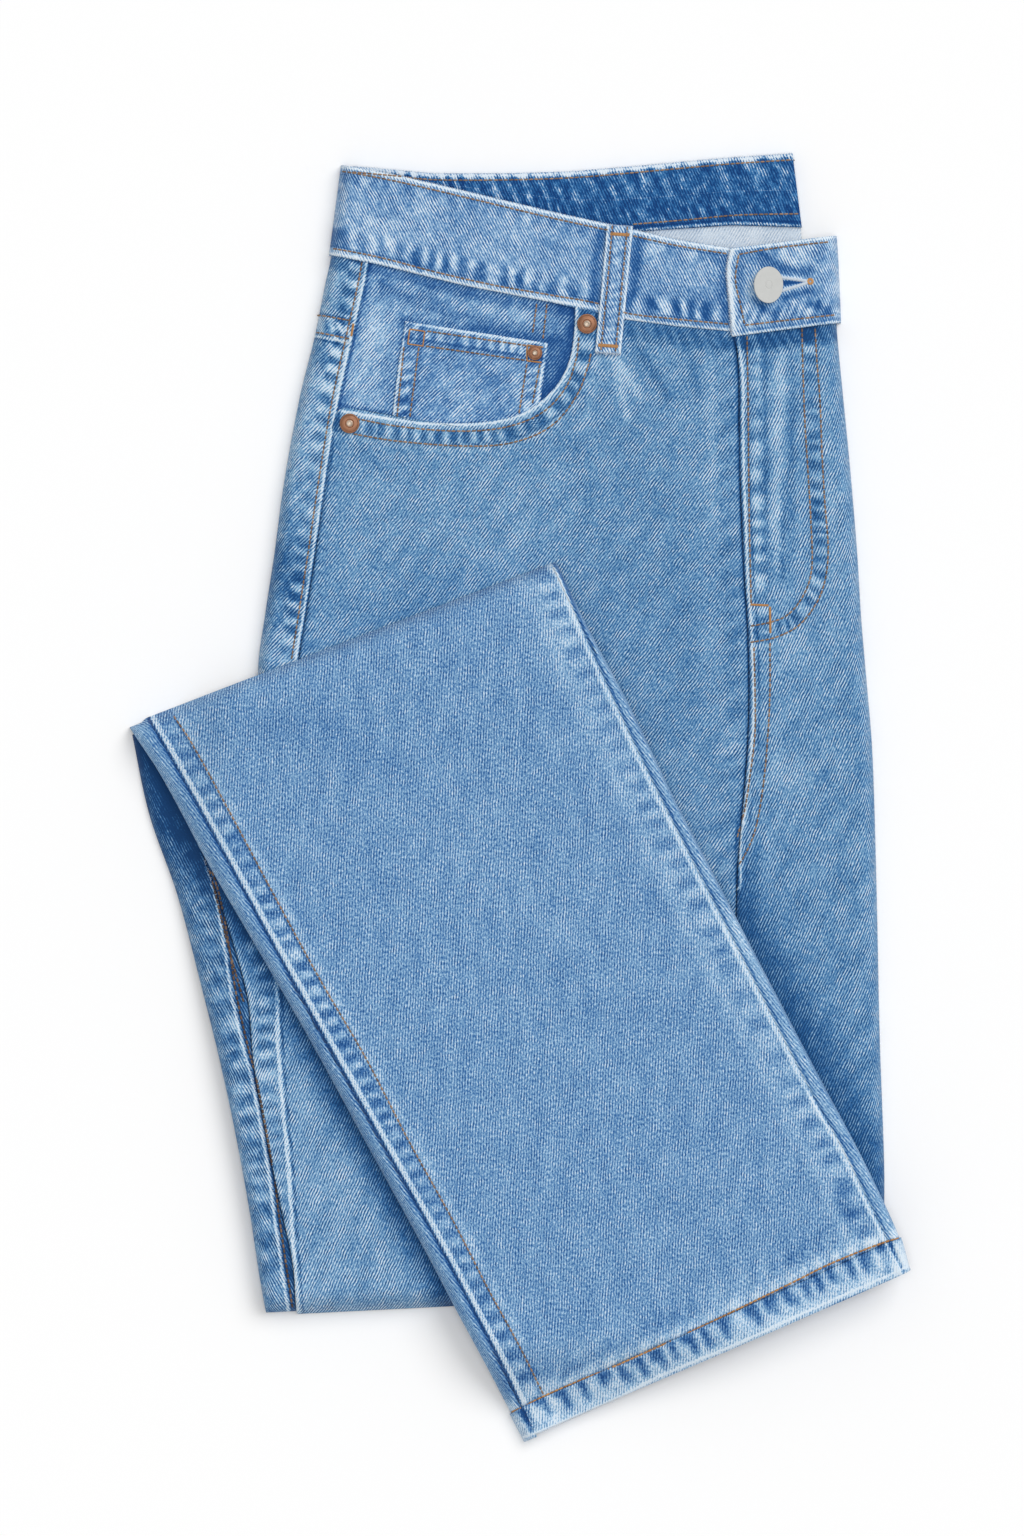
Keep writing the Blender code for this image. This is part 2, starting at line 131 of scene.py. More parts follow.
# Right leg's end, on top: front panel between a felled seam on the outside and a plain one inside, its
# back panel rolling over at both sides. Heavy denim twill; the panels turn over the top fold and lie on
# the folded knees.
CLOTH = 1.2  # one thickness of 14 oz denim
ROLL = 6.0  # radius of a turned side
INNER_ROLL = 2.5
FOLD = 9.0  # radius of a fold across a leg
HIP_TOP = 11.0  # height of the front at the hips
THIGH_TOP = 7.8
MID_HEIGHT = 5.2  # of the folded knees
OUTER_RISE = 1.4  # of the left leg, wrapped outside the right one
END_HEIGHT = 6.6  # of the leg's end
THIGH_LEFT = -124.0  # side of the thighs, where the knees sag off them over these lengths
SAG = 46.0
LEDGE = 8.0
CLEAR = 0.8  # between one level of the fold and the next
TOP_FOLD = ((-185.2, 33.2), (17.6, 111.6))
BOTTOM_FOLD = ((-120.2, -245.3), (162.9, -231.3))

# From the top fold down to the hem. Columns: outer fold, outer seam, inner seam, inner fold.
ENDS = (
    ((-185.2, 33.2), (-176.4, 38.0), (14.9, 110.9), (17.6, 111.6)),
    ((-170.0, 10.0), (-161.9, 13.0), (29.2, 80.5), (30.9, 84.1)),
    ((-145.8, -34.7), (-136.2, -33.7), (48.0, 38.7), (53.7, 40.9)),
    ((-123.5, -73.1), (-113.8, -75.1), (66.5, 0.5), (74.1, -1.4)),
    ((-100.2, -113.5), (-91.3, -116.0), (84.1, -34.2), (91.7, -35.1)),
    ((-72.2, -164.8), (-64.4, -164.5), (109.7, -84.3), (117.3, -84.5)),
    ((-44.6, -215.2), (-35.7, -216.2), (135.4, -134.4), (143.4, -134.4)),
    ((-29.4, -244.1), (-21.0, -244.2), (149.4, -159.8), (158.2, -162.0)),
    ((-16.6, -267.9), (-9.3, -266.8), (162.2, -185.0), (169.6, -184.8)),
    ((-3.8, -293.1), (1.2, -289.8), (174.8, -211.0), (180.5, -209.0)),
    ((2.4, -305.0), (6.3, -301.8), (180.3, -225.0), (184.6, -223.0)),
)
HEM_ROW = 9


def ease(share):
    """From 0 to 1, level at both ends."""
    share = np.clip(share, 0.0, 1.0)
    return share * share * (3.0 - 2.0 * share)


def round_over(share):
    """A quarter round, from 0 to 1."""
    return np.sqrt(1.0 - (1.0 - np.clip(share, 0.0, 1.0)) ** 2)


def inside_line(line, x, y):
    """Signed distance in mm from a straight line, to its left positive."""
    (ax, ay), (bx, by) = line
    return ((bx - ax) * (y - ay) - (by - ay) * (x - ax)) / math.hypot(bx - ax, by - ay)


def body_height(x, y):
    """The front's height, from the thighs up to the hips."""
    return THIGH_TOP + (HIP_TOP - THIGH_TOP) * ease((y + 60.0) / 160.0)


def over_thighs(x, y):
    """What the knees lie on: the front, and left of it the ground."""
    return (body_height(x, y) + CLEAR) * ease((x - THIGH_LEFT + SAG) / (SAG - LEDGE))


def under_ends(x, y):
    """What the leg's end lies on: the knees on the front, then the ground below the lower fold."""
    past_fold = ease((inside_line(BOTTOM_FOLD, x, y) + 58.0) / 42.0)
    over_knees = (MID_HEIGHT + OUTER_RISE + 1.5) * round_over(-inside_line(TOP_FOLD, x, y) / FOLD)
    return (over_thighs(x, y) + over_knees) * past_fold


def noise(x, y, size, seed):
    """Soft lumps of about this size in mm, from -1 to 1."""
    dice = np.random.RandomState(seed).uniform(-1.0, 1.0, (64, 64))
    gx, gy = np.asarray(x) / size + 1000.0, np.asarray(y) / size + 1000.0
    kx, ky = np.floor(gx).astype(int), np.floor(gy).astype(int)
    fx, fy = ease(gx - kx), ease(gy - ky)
    low = dice[kx % 64, ky % 64] * (1 - fx) + dice[(kx + 1) % 64, ky % 64] * fx
    high = dice[kx % 64, (ky + 1) % 64] * (1 - fx) + dice[(kx + 1) % 64, (ky + 1) % 64] * fx
    return low * (1 - fy) + high * fy


def smooth_path(points, step=2.0):
    """Points every few mm along a smooth curve through these."""
    p = np.asarray(points, float)
    far = np.linalg.norm(np.diff(p, axis=0), axis=1)
    before = np.vstack([p[:1], p[:-1]])
    after = np.vstack([p[1:], p[-1:]])
    slope = (after - before) / (np.append(0.0, far) + np.append(far, 0.0))[:, None]
    out = []
    for k in range(len(p) - 1):
        pieces = max(1, int(far[k] / step))
        f = (np.arange(pieces) / pieces)[:, None]
        out.append(
            (2 * f**3 - 3 * f**2 + 1) * p[k] + (f**3 - 2 * f**2 + f) * slope[k] * far[k]
            + (3 * f**2 - 2 * f**3) * p[k + 1] + (f**3 - f**2) * slope[k + 1] * far[k]
        )
    return np.vstack(out + [p[-1:]])


def near(path, x, y):
    """Signed distance in mm from a path, to its left positive, and how far along it that is."""
    line = smooth_path(path)
    shape = np.shape(x)
    q = np.column_stack([np.ravel(x), np.ravel(y)])
    best = np.full(len(q), 1e9)
    side = np.zeros(len(q))
    along = np.zeros(len(q))
    start = 0.0
    for a, b in zip(line[:-1], line[1:]):
        way = b - a
        span = math.hypot(*way)
        way = way / span
        t = np.clip((q - a) @ way, 0.0, span)
        gap = q - a - t[:, None] * way
        distance = np.hypot(gap[:, 0], gap[:, 1])
        closer = distance < best
        best = np.where(closer, distance, best)
        side = np.where(closer, way[0] * (q[:, 1] - a[1]) - way[1] * (q[:, 0] - a[0]), side)
        along = np.where(closer, start + t, along)
        start += span
    return (best * np.sign(side)).reshape(shape), along.reshape(shape)


def ropes(along, across, seed, period=9.0, slant=0.5, places=()):
    """Uneven marks where a seam puckered in the wash, from -1 to 1.

    They are dark at these places in mm along the seam, or else once in a period.
    """
    s = along + slant * across
    if places:
        turns = np.interp(s + 0.5 * noise(s, across, 3.0, seed), places, np.arange(len(places)))
    else:
        turns = s / period + 0.42 * noise(s, 0.0 * s, period * 1.7, seed)
    beat = -np.cos(2.0 * math.pi * turns)
    rough = noise(s, across * 0.5, period * 0.42, seed + 1)
    strength = 0.62 + 0.38 * noise(s, 0.0 * s, period * 3.0, seed + 2)
    return np.tanh((1.5 * beat + 0.9 * rough) * strength)


def bell(distance, place, wide):
    """1 at this distance, falling off softly on both sides."""
    return np.exp(-(((distance - place) / wide) ** 2))


def between(value, low, high, soft=1.0):
    """1 between two values and 0 outside, with soft ends."""
    return ease((value - low) / soft + 0.5) * ease((high - value) / soft + 0.5)


def strokes(x, y, table):
    """Soft straight marks. Columns: from x, y, to x, y, width in mm, tone."""
    total = 0.0 * x
    for ax, ay, bx, by, wide, tone in table:
        span = math.hypot(bx - ax, by - ay)
        t = ((x - ax) * (bx - ax) + (y - ay) * (by - ay)) / span**2
        off = ((x - ax) * (by - ay) - (y - ay) * (bx - ax)) / span
        total = total + tone * bell(off, 0.0, wide) * ease(t * 3.0 + 0.5) * ease((1.0 - t) * 3.0 + 0.5)
    return total


def at_rows(rows, v):
    """A table's points at these row numbers, on smooth curves down its columns."""
    p = np.asarray(rows, float)
    v = np.asarray(v, float)
    k = np.clip(np.floor(v).astype(int), 0, len(p) - 2)
    f = (v - k)[:, None, None]
    here, there = p[k], p[k + 1]
    far = np.linalg.norm(np.diff(p[:, 0], axis=0), axis=1)
    before = np.vstack([p[:1], p[:-1]])
    after = np.vstack([p[1:], p[-1:]])
    slope = (after - before) / (np.append(0.0, far) + np.append(far, 0.0))[:, None, None]
    slope_here = slope[k] * far[k][:, None, None]
    slope_there = slope[k + 1] * far[k][:, None, None]
    return (
        (2 * f**3 - 3 * f**2 + 1) * here + (f**3 - 2 * f**2 + f) * slope_here
        + (3 * f**2 - 2 * f**3) * there + (f**3 - f**2) * slope_there
    )


def pulled_in(distance, radius, depth):
    """How far a point moves in, and its share of the height, where a side rolls over at this radius."""
    if not radius:
        return np.zeros_like(distance), np.ones_like(distance)
    turn = np.arccos(np.clip(1.0 - distance / radius, 0.0, 1.0))
    inside = distance < radius
    return np.where(inside, depth * np.cos(turn), 0.0), np.where(inside, np.sin(turn), 1.0)


def skin(rows, v, columns, along, depth, base, height, rolls):
    """Points of a cloth surface at row numbers v, column numbers with mm along the row, and a depth."""
    row = at_rows(rows, v)
    k = np.clip(np.floor(columns).astype(int), 0, row.shape[1] - 2)
    f = (columns - k)[None, :, None]
    p = row[:, k] * (1 - f) + row[:, k + 1] * f
    first, last = row[:, :1], row[:, -1:]
    span = np.linalg.norm(last - first, axis=2, keepdims=True)
    way = (last - first) / span
    place = ((p - first) * way).sum(axis=2) + along[None, :]
    shift_left, left_share = pulled_in(place, rolls[0], depth)
    shift_right, right_share = pulled_in(span[..., 0] - place, rolls[1], depth)
    p = p + way * (along[None, :] + shift_left - shift_right)[..., None]
    share = left_share * right_share
    if rolls[2]:
        step = np.asarray(rows[1], float)[0] - np.asarray(rows[0], float)[0]
        length = np.linalg.norm(step)
        shift, first_share = pulled_in(np.asarray(v) * length, rolls[2], depth)
        p = p + (step / length)[None, None, :] * shift[:, None, None]
        share = share * first_share[:, None]
    x, y = p[..., 0], p[..., 1]
    return x, y, base(x, y), (height(x, y) - depth) * share, share


def down_rows(rows, first, last, step, column=1, fold=0.0):
    """Row numbers about this many mm apart, closer together over a fold at the first row."""
    p = np.asarray(rows, float)[:, column]
    far = np.concatenate([[0.0], np.cumsum(np.linalg.norm(np.diff(p, axis=0), axis=1))])
    numbers = np.arange(len(p))
    s0, s1 = np.interp([first, last], numbers, far)
    s = np.linspace(s0, s1, max(2, int(round((s1 - s0) / step)) + 1))
    v = np.interp(s, far, numbers)
    if fold:
        length = np.linalg.norm(np.asarray(rows[1], float)[0] - np.asarray(rows[0], float)[0])
        turn = fold * (1.0 - np.cos(np.radians(np.linspace(0.0, 90.0, 13)))) / length
        v = np.concatenate([turn, v[v > turn[-1] + 0.5 * step / length]])
    return v


def across_row(rows, a, b, step, left_roll=0.0, right_roll=0.0, inset=0.15):
    """Column numbers between two columns with mm along the row, closer together over a folded side."""
    p = np.asarray(rows, float)
    width = np.linalg.norm(p[:, b] - p[:, a], axis=1).mean()
    columns = np.linspace(a, b, max(2, int(round(width / step)) + 1))
    along = np.zeros_like(columns)
    along[0], along[-1] = inset, -inset
    turn = 1.0 - np.cos(np.radians(np.linspace(0.0, 90.0, 9)))
    if left_roll:
        keep = (columns - a) * width / (b - a) > left_roll + 0.6 * step
        columns = np.concatenate([np.full(9, float(a)), columns[keep]])
        along = np.concatenate([left_roll * turn, along[keep]])
    if right_roll:
        keep = (b - columns) * width / (b - a) > right_roll + 0.6 * step
        columns = np.concatenate([columns[keep], np.full(9, float(b))])
        along = np.concatenate([along[keep], -right_roll * turn[::-1]])
    return columns, along


def add_cloth(name, top, bottom, marks, paint, share=1.0):
    """A closed wall of cloth from two grids of points.

    marks holds each upper point's tone, and its distance in mm from a worn edge and from a groove, along
    which shade is painted into the weave. share is how far up it stands on a rolled side, where the weave's
    UVs go on round the roll.
    """
    rows, columns = top[0].shape
    count = rows * columns
    points = np.concatenate([np.stack(top, -1).reshape(-1, 3), np.stack(bottom, -1).reshape(-1, 3)]) * MM
    a = (np.arange(rows - 1)[:, None] * columns + np.arange(columns - 1)[None, :]).ravel()
    upper = np.column_stack([a, a + columns, a + columns + 1, a + 1])
    across = points[1] - points[0]
    down = points[columns] - points[0]
    turned = across[0] * down[1] - across[1] * down[0] > 0
    if turned:
        upper = upper[:, ::-1]
    lower = upper[:, ::-1] + count
    rim = np.concatenate([
        np.arange(columns), np.arange(2, rows + 1) * columns - 1,
        (rows - 1) * columns + np.arange(columns - 2, -1, -1), np.arange(rows - 2, 0, -1) * columns,
    ])
    after = np.roll(rim, -1)
    sides = np.column_stack([rim, after, after + count, rim + count])
    if turned:
        sides = sides[:, ::-1]
    faces = np.concatenate([upper, lower, sides])
    mesh = bpy.data.meshes.new(name)
    mesh.vertices.add(len(points))
    mesh.vertices.foreach_set("co", points.ravel())
    mesh.loops.add(faces.size)
    mesh.loops.foreach_set("vertex_index", faces.ravel())
    mesh.polygons.add(len(faces))
    mesh.polygons.foreach_set("loop_start", np.arange(len(faces)) * 4)
    mesh.polygons.foreach_set("use_smooth", np.ones(len(faces), bool))
    mesh.update(calc_edges=True)
    share = np.broadcast_to(share, (rows, columns))
    fold_share = share.max(axis=1, keepdims=True)
    side = np.sign(np.arange(columns) - columns / 2.0)[None, :]
    flat_x = top[0] + side * (1.0 - share / np.maximum(fold_share, 1e-6)) * 5.0
    outward = np.sign(top[1][0, 0] - top[1][-1, 0])
    flat_y = top[1] + outward * (1.0 - fold_share) * 5.0
    place = np.stack([flat_x, flat_y], -1).reshape(-1, 2)
    place = np.concatenate([place, place])
    uv = mesh.uv_layers.new(name="cloth")
    uv.data.foreach_set("uv", place[faces.ravel()].astype(np.float32).ravel())
    for label, values in marks.items():
        layer = mesh.attributes.new(label, "FLOAT", "POINT")
        values = np.broadcast_to(values, (rows, columns)).ravel()
        layer.data.foreach_set("value", np.concatenate([values, values]).astype(np.float32))
    mesh.materials.append(paint)
    return put_in_scene(name, mesh)


def denim(
    name, colours, angle, pitch=1.25, lines=0.66, slubs=1.05, grain=0.42, streaks=0.25, streak=(7.0, 18.0),
    slub=(0.60, 1.7),
):
    """Washed indigo twill, woven in diagonal wales this many mm apart, with slubbed yarns and wash streaks.

    It looks matt and uneven. The tone runs from dark to light through five colours, and UVs are mm.
    """
    made, tree, shader = new_material(name)
    uv = add_node(tree, "ShaderNodeUVMap", uv_map="cloth").outputs["UV"]
    wander = add_node(
        tree, "ShaderNodeTexNoise", {"Vector": uv, "Scale": 0.11, "Detail": 2.0}, noise_dimensions="2D"
    )
    bent = add_node(
        tree, "ShaderNodeVectorMath", {0: wander.outputs["Color"], 1: (1.1, 1.1, 0.0), 2: uv},
        operation="MULTIPLY_ADD",
    ).outputs[0]
    turned = add_node(
        tree, "ShaderNodeMapping", {"Vector": bent, "Rotation": (0.0, 0.0, math.radians(angle))}
    ).outputs[0]
    wale = add_node(
        tree, "ShaderNodeTexWave",
        {"Vector": turned, "Scale": 0.31416 / pitch, "Distortion": 0.3, "Detail": 2.0, "Detail Scale": 1.6},
    ).outputs["Fac"]
    long_way = add_node(
        tree, "ShaderNodeMapping", {"Vector": turned, "Scale": (1.0 / slub[0], 1.0 / slub[1], 1.0)}
    ).outputs[0]
    yarn = add_node(
        tree, "ShaderNodeTexNoise", {"Vector": long_way, "Scale": 1.0, "Detail": 2.0, "Roughness": 0.6},
        noise_dimensions="2D",
    ).outputs["Fac"]
    speck = add_node(
        tree, "ShaderNodeTexNoise", {"Vector": uv, "Scale": 1.5, "Detail": 2.0, "Roughness": 0.7},
        noise_dimensions="2D",
    ).outputs["Fac"]
    wash_way = add_node(
        tree, "ShaderNodeMapping", {"Vector": turned, "Scale": (1.0 / streak[0], 1.0 / streak[1], 1.0)}
    ).outputs[0]
    cloud = add_node(
        tree, "ShaderNodeTexNoise", {"Vector": wash_way, "Scale": 1.0, "Detail": 2.0, "Roughness": 0.5},
        noise_dimensions="2D",
    ).outputs["Fac"]
    tone = add_node(tree, "ShaderNodeAttribute", attribute_name="tone").outputs["Fac"]
    edge = add_node(tree, "ShaderNodeAttribute", attribute_name="edge").outputs["Fac"]
    groove = add_node(tree, "ShaderNodeAttribute", attribute_name="groove").outputs["Fac"]

    def blend_in(total, parts):
        """The total with each part added at its weight."""
        for value, weight in parts:
            links = {0: value, 1: weight, 2: total}
            total = add_node(tree, "ShaderNodeMath", links, operation="MULTIPLY_ADD").outputs[0]
        return total

    def soft_line(distance, inner, outer):
        """1 on a seam or an edge, 0 from the outer distance on."""
        size = add_node(tree, "ShaderNodeMath", {0: distance}, operation="ABSOLUTE").outputs[0]
        return add_node(
            tree, "ShaderNodeMapRange",
            {"Value": size, "From Min": inner, "From Max": outer, "To Min": 1.0, "To Max": 0.0},
            interpolation_type="SMOOTHSTEP",
        ).outputs[0]

    patch = add_node(
        tree, "ShaderNodeTexNoise", {"Vector": uv, "Scale": 0.16, "Detail": 3.0, "Roughness": 0.6},
        noise_dimensions="2D",
    ).outputs["Fac"]
    strength = add_node(
        tree, "ShaderNodeMapRange",
        {"Value": patch, "From Min": 0.32, "From Max": 0.68, "To Min": 0.45, "To Max": 1.35},
    ).outputs[0]
    swing = add_node(tree, "ShaderNodeMath", {0: wale, 1: -0.5}, operation="ADD").outputs[0]
    swing = add_node(tree, "ShaderNodeMath", {0: swing, 1: strength}, operation="MULTIPLY").outputs[0]
    centre = 0.5 - 0.5 * (slubs + grain + streaks)
    weave = add_node(
        tree, "ShaderNodeMath", {0: swing, 1: lines, 2: centre}, operation="MULTIPLY_ADD"
    ).outputs[0]
    weave = blend_in(weave, ((yarn, slubs), (speck, grain), (cloud, streaks), (tone, 1.0)))
    fuzz = add_node(
        tree, "ShaderNodeTexNoise", {"Vector": uv, "Scale": 0.9, "Detail": 2.0, "Roughness": 0.7},
        noise_dimensions="2D",
    ).outputs["Fac"]
    edge = add_node(tree, "ShaderNodeMath", {0: edge}, operation="ABSOLUTE").outputs[0]
    edge = add_node(tree, "ShaderNodeMath", {0: fuzz, 1: 1.2, 2: edge}, operation="MULTIPLY_ADD").outputs[0]
    worn = add_node(
        tree, "ShaderNodeMath", {0: soft_line(edge, 0.75, 1.6), 1: speck}, operation="MULTIPLY"
    ).outputs[0]
    # The worn edge's pale line is wear; the groove's dark line is painted shade along seams and stitch
    # rows.
    weave = blend_in(weave, ((worn, 0.95), (soft_line(groove, 0.3, 1.15), -0.34)))
    ramp = add_node(tree, "ShaderNodeValToRGB", {"Fac": weave})
    band = ramp.color_ramp
    band.elements[0].position = 0.0
    band.elements[0].color = (*light_colour(colours[0]), 1.0)
    band.elements[1].position = 1.0
    band.elements[1].color = (*light_colour(colours[-1]), 1.0)
    for k, code in enumerate(colours[1:-1], 1):
        stop = band.elements.new(k / (len(colours) - 1))
        stop.color = (*light_colour(code), 1.0)
    tree.links.new(ramp.outputs["Color"], shader.inputs["Base Color"])
    rise = blend_in(wale, ((yarn, 1.1), (speck, 0.5)))
    bump = add_node(tree, "ShaderNodeBump", {"Height": rise, "Strength": 0.55, "Distance": 0.00022})
    tree.links.new(bump.outputs["Normal"], shader.inputs["Normal"])
    shader.inputs["Roughness"].default_value = 0.88
    shader.inputs["Specular IOR Level"].default_value = 0.18
    shader.inputs["Sheen Weight"].default_value = 0.08
    return made


LEG_BLUES = ("124682", "3a6eaa", "6f9ac2", "a0c5e4", "dceaf6")
leg_denim = denim(
    "leg_denim", LEG_BLUES, 3.0, pitch=1.28, lines=0.46, slubs=1.40, grain=0.46, slub=(0.72, 1.3)
)
strip_denim = denim("strip_denim", LEG_BLUES, -40.0, lines=0.42, streaks=0.3)


def line_down(rows, column):
    """A line down a table, through one column of its points."""
    return [row[column] for row in rows]


END_RIDGE = line_down(ENDS, 1)
END_INNER = (
    (15.2, 110.7), (18.5, 105.9), (30.9, 76.5), (48.9, 37.0), (66.5, 0.5), (135.4, -134.4), (142.0, -147.7),
    (153.4, -166.2), (163.4, -187.6), (171.9, -205.2), (181.0, -224.7),
)
HEM_STITCH = (
    (-3.8, -292.6), (11.9, -284.5), (30.9, -276.0), (48.0, -268.8), (87.9, -250.3), (128.2, -230.8),
    (148.2, -220.9), (173.4, -210.9), (180.5, -209.0),
)
HEM_EDGE = (
    (2.4, -304.9), (10.0, -302.1), (23.8, -296.4), (48.0, -285.5), (67.0, -275.5), (101.2, -260.8),
    (141.5, -242.2), (174.8, -227.5), (185.2, -222.8),
)

# Where the seams puckered, in mm along each.
RIDGE_PUCKERS = (
    4, 15, 24, 32, 44, 51, 59, 69, 76, 84, 91, 102, 109, 120, 126, 138, 147, 156, 164, 172, 180, 188, 196,
    204, 212, 220, 226, 235, 243, 251, 258, 265, 273, 283, 293, 300, 310, 317, 328, 337, 348, 359, 371,
    385,
)
INNER_PUCKERS = (
    5, 16, 24, 33, 44, 55, 64, 73, 83, 93, 103, 114, 125, 133, 144, 155, 166, 176, 192, 201, 209, 226,
    239, 258, 273, 281, 293, 305, 312, 327, 342, 353, 360, 372,
)
HEM_PUCKERS = (
    -6, 5, 16, 26, 36, 47, 57, 65, 74, 83, 91, 99, 108, 124, 133, 143, 151, 157, 166, 174, 182, 196, 206,
)

# Soft creases on the leg's end, their dark strokes painted shade, and pale worn marks, from x, y to x, y,
# width in mm and tone.
END_STROKES = (
    (151.0, -188.0, 163.0, -206.0, 4.5, -0.26), (97.0, -52.0, 117.0, -92.0, 3.0, 0.16),
    (24.0, -268.0, 44.0, -252.0, 3.0, 0.10), (60.0, -254.0, 78.0, -244.0, 3.0, -0.09),
    (88.0, -240.0, 118.0, -222.0, 4.0, 0.08), (150.0, -208.0, 166.0, -196.0, 3.0, 0.12),
    (124.0, -222.0, 146.0, -204.0, 2.5, -0.10), (12.5, -284.5, 18.5, -299.0, 1.4, 0.65),
    (6.0, -288.0, 12.0, -300.0, 1.6, 0.35), (5.0, -266.0, 9.0, -276.0, 2.2, -0.30),
    (20.0, -276.0, 30.0, -268.0, 2.0, -0.22), (178.0, -213.0, 184.0, -222.0, 2.6, 0.40),
    (171.0, -212.0, 177.0, -226.0, 1.3, -0.45), (20.0, 92.0, 10.0, 60.0, 8.0, 0.06),
    (-120.0, 40.0, -60.0, 20.0, 12.0, -0.05), (-40.0, -20.0, 30.0, -60.0, 16.0, 0.03),
)


def even(height):
    """A base or a height that is the same all over."""
    return lambda x, y: height + 0.0 * x


def end_marks(x, y):
    """Relief in mm, tone, worn edge and groove shade of the leg's end, with painted shade beside its raised
    ridge.
    """
    ridge, ridge_s = near(END_RIDGE, x, y)
    inner, inner_s = near(END_INNER, x, y)
    hem, hem_s = near(HEM_STITCH, x, y)
    rope = ropes(ridge_s, ridge, 11, slant=-0.12, places=RIDGE_PUCKERS)
    tone = (0.30 * rope - 0.02) * between(ridge, 4.2, 9.8, 1.6)
    # The dark lines along the ridge's stitch and just outside the raised ridge are painted shade.
    tone += (0.13 + 0.08 * rope) * between(ridge, 11.4, 15.5, 3.0) - 0.08 * between(ridge, 3.2, 4.6, 0.8)
    tone += 0.10 * between(ridge, -11.0, -6.5, 3.0) - 0.12 * between(ridge, -1.6, 0.4, 0.8)
    inner_rope = ropes(inner_s, inner, 23, slant=-0.12, places=INNER_PUCKERS)
    tone += (0.06 + 0.17 * inner_rope) * between(inner, -11.5, -3.0, 3.5)
    tone += 0.11 * between(inner, -19.0, -12.0, 6.0) + 0.42 * between(inner, -2.4, 0.2, 0.9)
    tone += 0.07 * between(inner, 0.6, 6.0, 1.5)
    hem_rope = ropes(hem_s, hem, 37, slant=0.1, places=HEM_PUCKERS)
    body = between(hem, -18.0, -0.9, 1.0)
    wedge = 0.5 - 0.5 * np.tanh(2.2 * (hem_rope + 0.25 - 0.10 * (hem + 6.0)))
    tone += (0.32 - 0.74 * wedge * ease((hem + 13.5) / 4.0)) * body
    above = ropes(hem_s, hem, 41, slant=-0.4, places=HEM_PUCKERS)
    tone += (0.30 + 0.14 * above) * bell(np.maximum(hem, 0.0), 1.5, 4.2) * (hem > 0.0)
    tone -= 0.08 * above * between(hem, 6.0, 16.0, 6.0)
    tone += strokes(x, y, END_STROKES) - 0.03
    relief = 0.9 * between(ridge, 0.2, 60.0, 0.8) * (1.0 - ease(ridge / 24.0))
    relief += 0.3 * rope * between(ridge, 4.0, 10.0, 2.0)
    relief -= 0.35 * bell(ridge, 10.7, 1.1) + 0.3 * bell(ridge, 3.9, 0.7)
    relief += 0.45 * bell(inner, -0.8, 1.3) - 0.2 * bell(inner, 1.2, 0.9)
    relief += 0.22 * inner_rope * between(inner, -12.0, -3.0, 3.0) + 0.5 * strokes(x, y, END_STROKES)
    relief += 0.42 * hem_rope * between(hem, -12.5, -1.0, 2.0) - 0.4 * bell(hem, 0.0, 0.9)
    relief += 0.3 * above * between(hem, 1.0, 14.0, 5.0)
    relief += 0.35 * noise(x, y, 34.0, 5) + 0.14 * noise(x, y, 9.0, 6)
    worn = np.maximum(np.abs(ridge - 2.1) - 0.55, 0.0)
    edge = np.minimum(worn, np.abs(inner + 0.7) * 1.1 + 0.05)
    groove = np.minimum(np.abs(ridge) * 0.8, np.minimum(np.abs(ridge - 10.7) + 0.3, np.abs(inner - 1.1)))
    return relief, tone, edge, groove


FAR = 9.0  # an edge or a groove at this distance in mm doesn't show


def level_piece(name, rows, numbers, stations, skin_facts, depths, marks_of, paint):
    """One panel: its upper face carries the relief, its rim is softened, and its lower face is plain."""
    base, height, rolls = skin_facts
    columns, along = stations
    x, y, z0, z1, share = skin(rows, numbers, columns, along, depths[0], base, height, rolls)
    relief, tone, edge, groove = marks_of(x, y)
    soft = np.zeros_like(x)
    for ring, drop in ((0, 0.24), (1, 0.06)):
        soft[ring] = soft[-1 - ring] = drop
        soft[:, ring] = soft[:, -1 - ring] = drop
    top = (x, y, z0 + z1 + (relief - soft) * share**2)
    bx, by, bz0, bz1, _ = skin(rows, numbers, columns, along, depths[1], base, height, rolls)
    bottom = (bx, by, bz0 + np.minimum(bz1, z1 - 0.5 * share))
    return add_cloth(name, top, bottom, {"tone": tone, "edge": edge, "groove": groove}, paint, share)


END_SKIN = (under_ends, even(END_HEIGHT), (ROLL, INNER_ROLL, FOLD))
end_rows = down_rows(ENDS, 0, HEM_ROW, 1.45, fold=FOLD)
leg_front = level_piece(
    "leg_front", ENDS, end_rows, across_row(ENDS, 1, 2, 1.5, inset=-0.25), END_SKIN, (0.0, CLOTH),
    end_marks, leg_denim,
)
leg_outer = level_piece(
    "leg_back_outer", ENDS, end_rows, across_row(ENDS, 0, 1, 1.3, left_roll=ROLL), END_SKIN, (0.0, CLOTH),
    end_marks, strip_denim,
)
leg_inner = level_piece(
    "leg_back_inner", ENDS, end_rows, across_row(ENDS, 2, 3, 1.3, right_roll=INNER_ROLL, inset=0.0),
    END_SKIN, (0.0, CLOTH), end_marks, strip_denim,
)


def settle(piece, nodes):
    """The piece stands for its CAD nodes, which are hidden, and is attached to the root."""
    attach(piece, "root")
    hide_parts(*nodes)


settle(leg_front, ["right_leg_front"])
settle(leg_outer, ["right_leg_back_outer"])
settle(leg_inner, ["right_leg_back_inner"])


# Hem of the right leg: turned up twice and held by one row of orange stitches, roped all along. The far
# side of the same hem and the left leg's hem lie under it and show as dark plies.
HEM_SKIN = (under_ends, even(END_HEIGHT), (ROLL, INNER_ROLL, 0.0))


def hem_marks(x, y):
    """The leg's marks, raised by the turned-up plies, with the hem's own worn rim."""
    relief, tone, edge, groove = end_marks(x, y)
    rim, _ = near(HEM_EDGE, x, y)
    edge = np.where(np.abs(rim - 0.7) < 3.0, rim - 0.7, edge)
    return relief + 0.3, tone, edge, groove


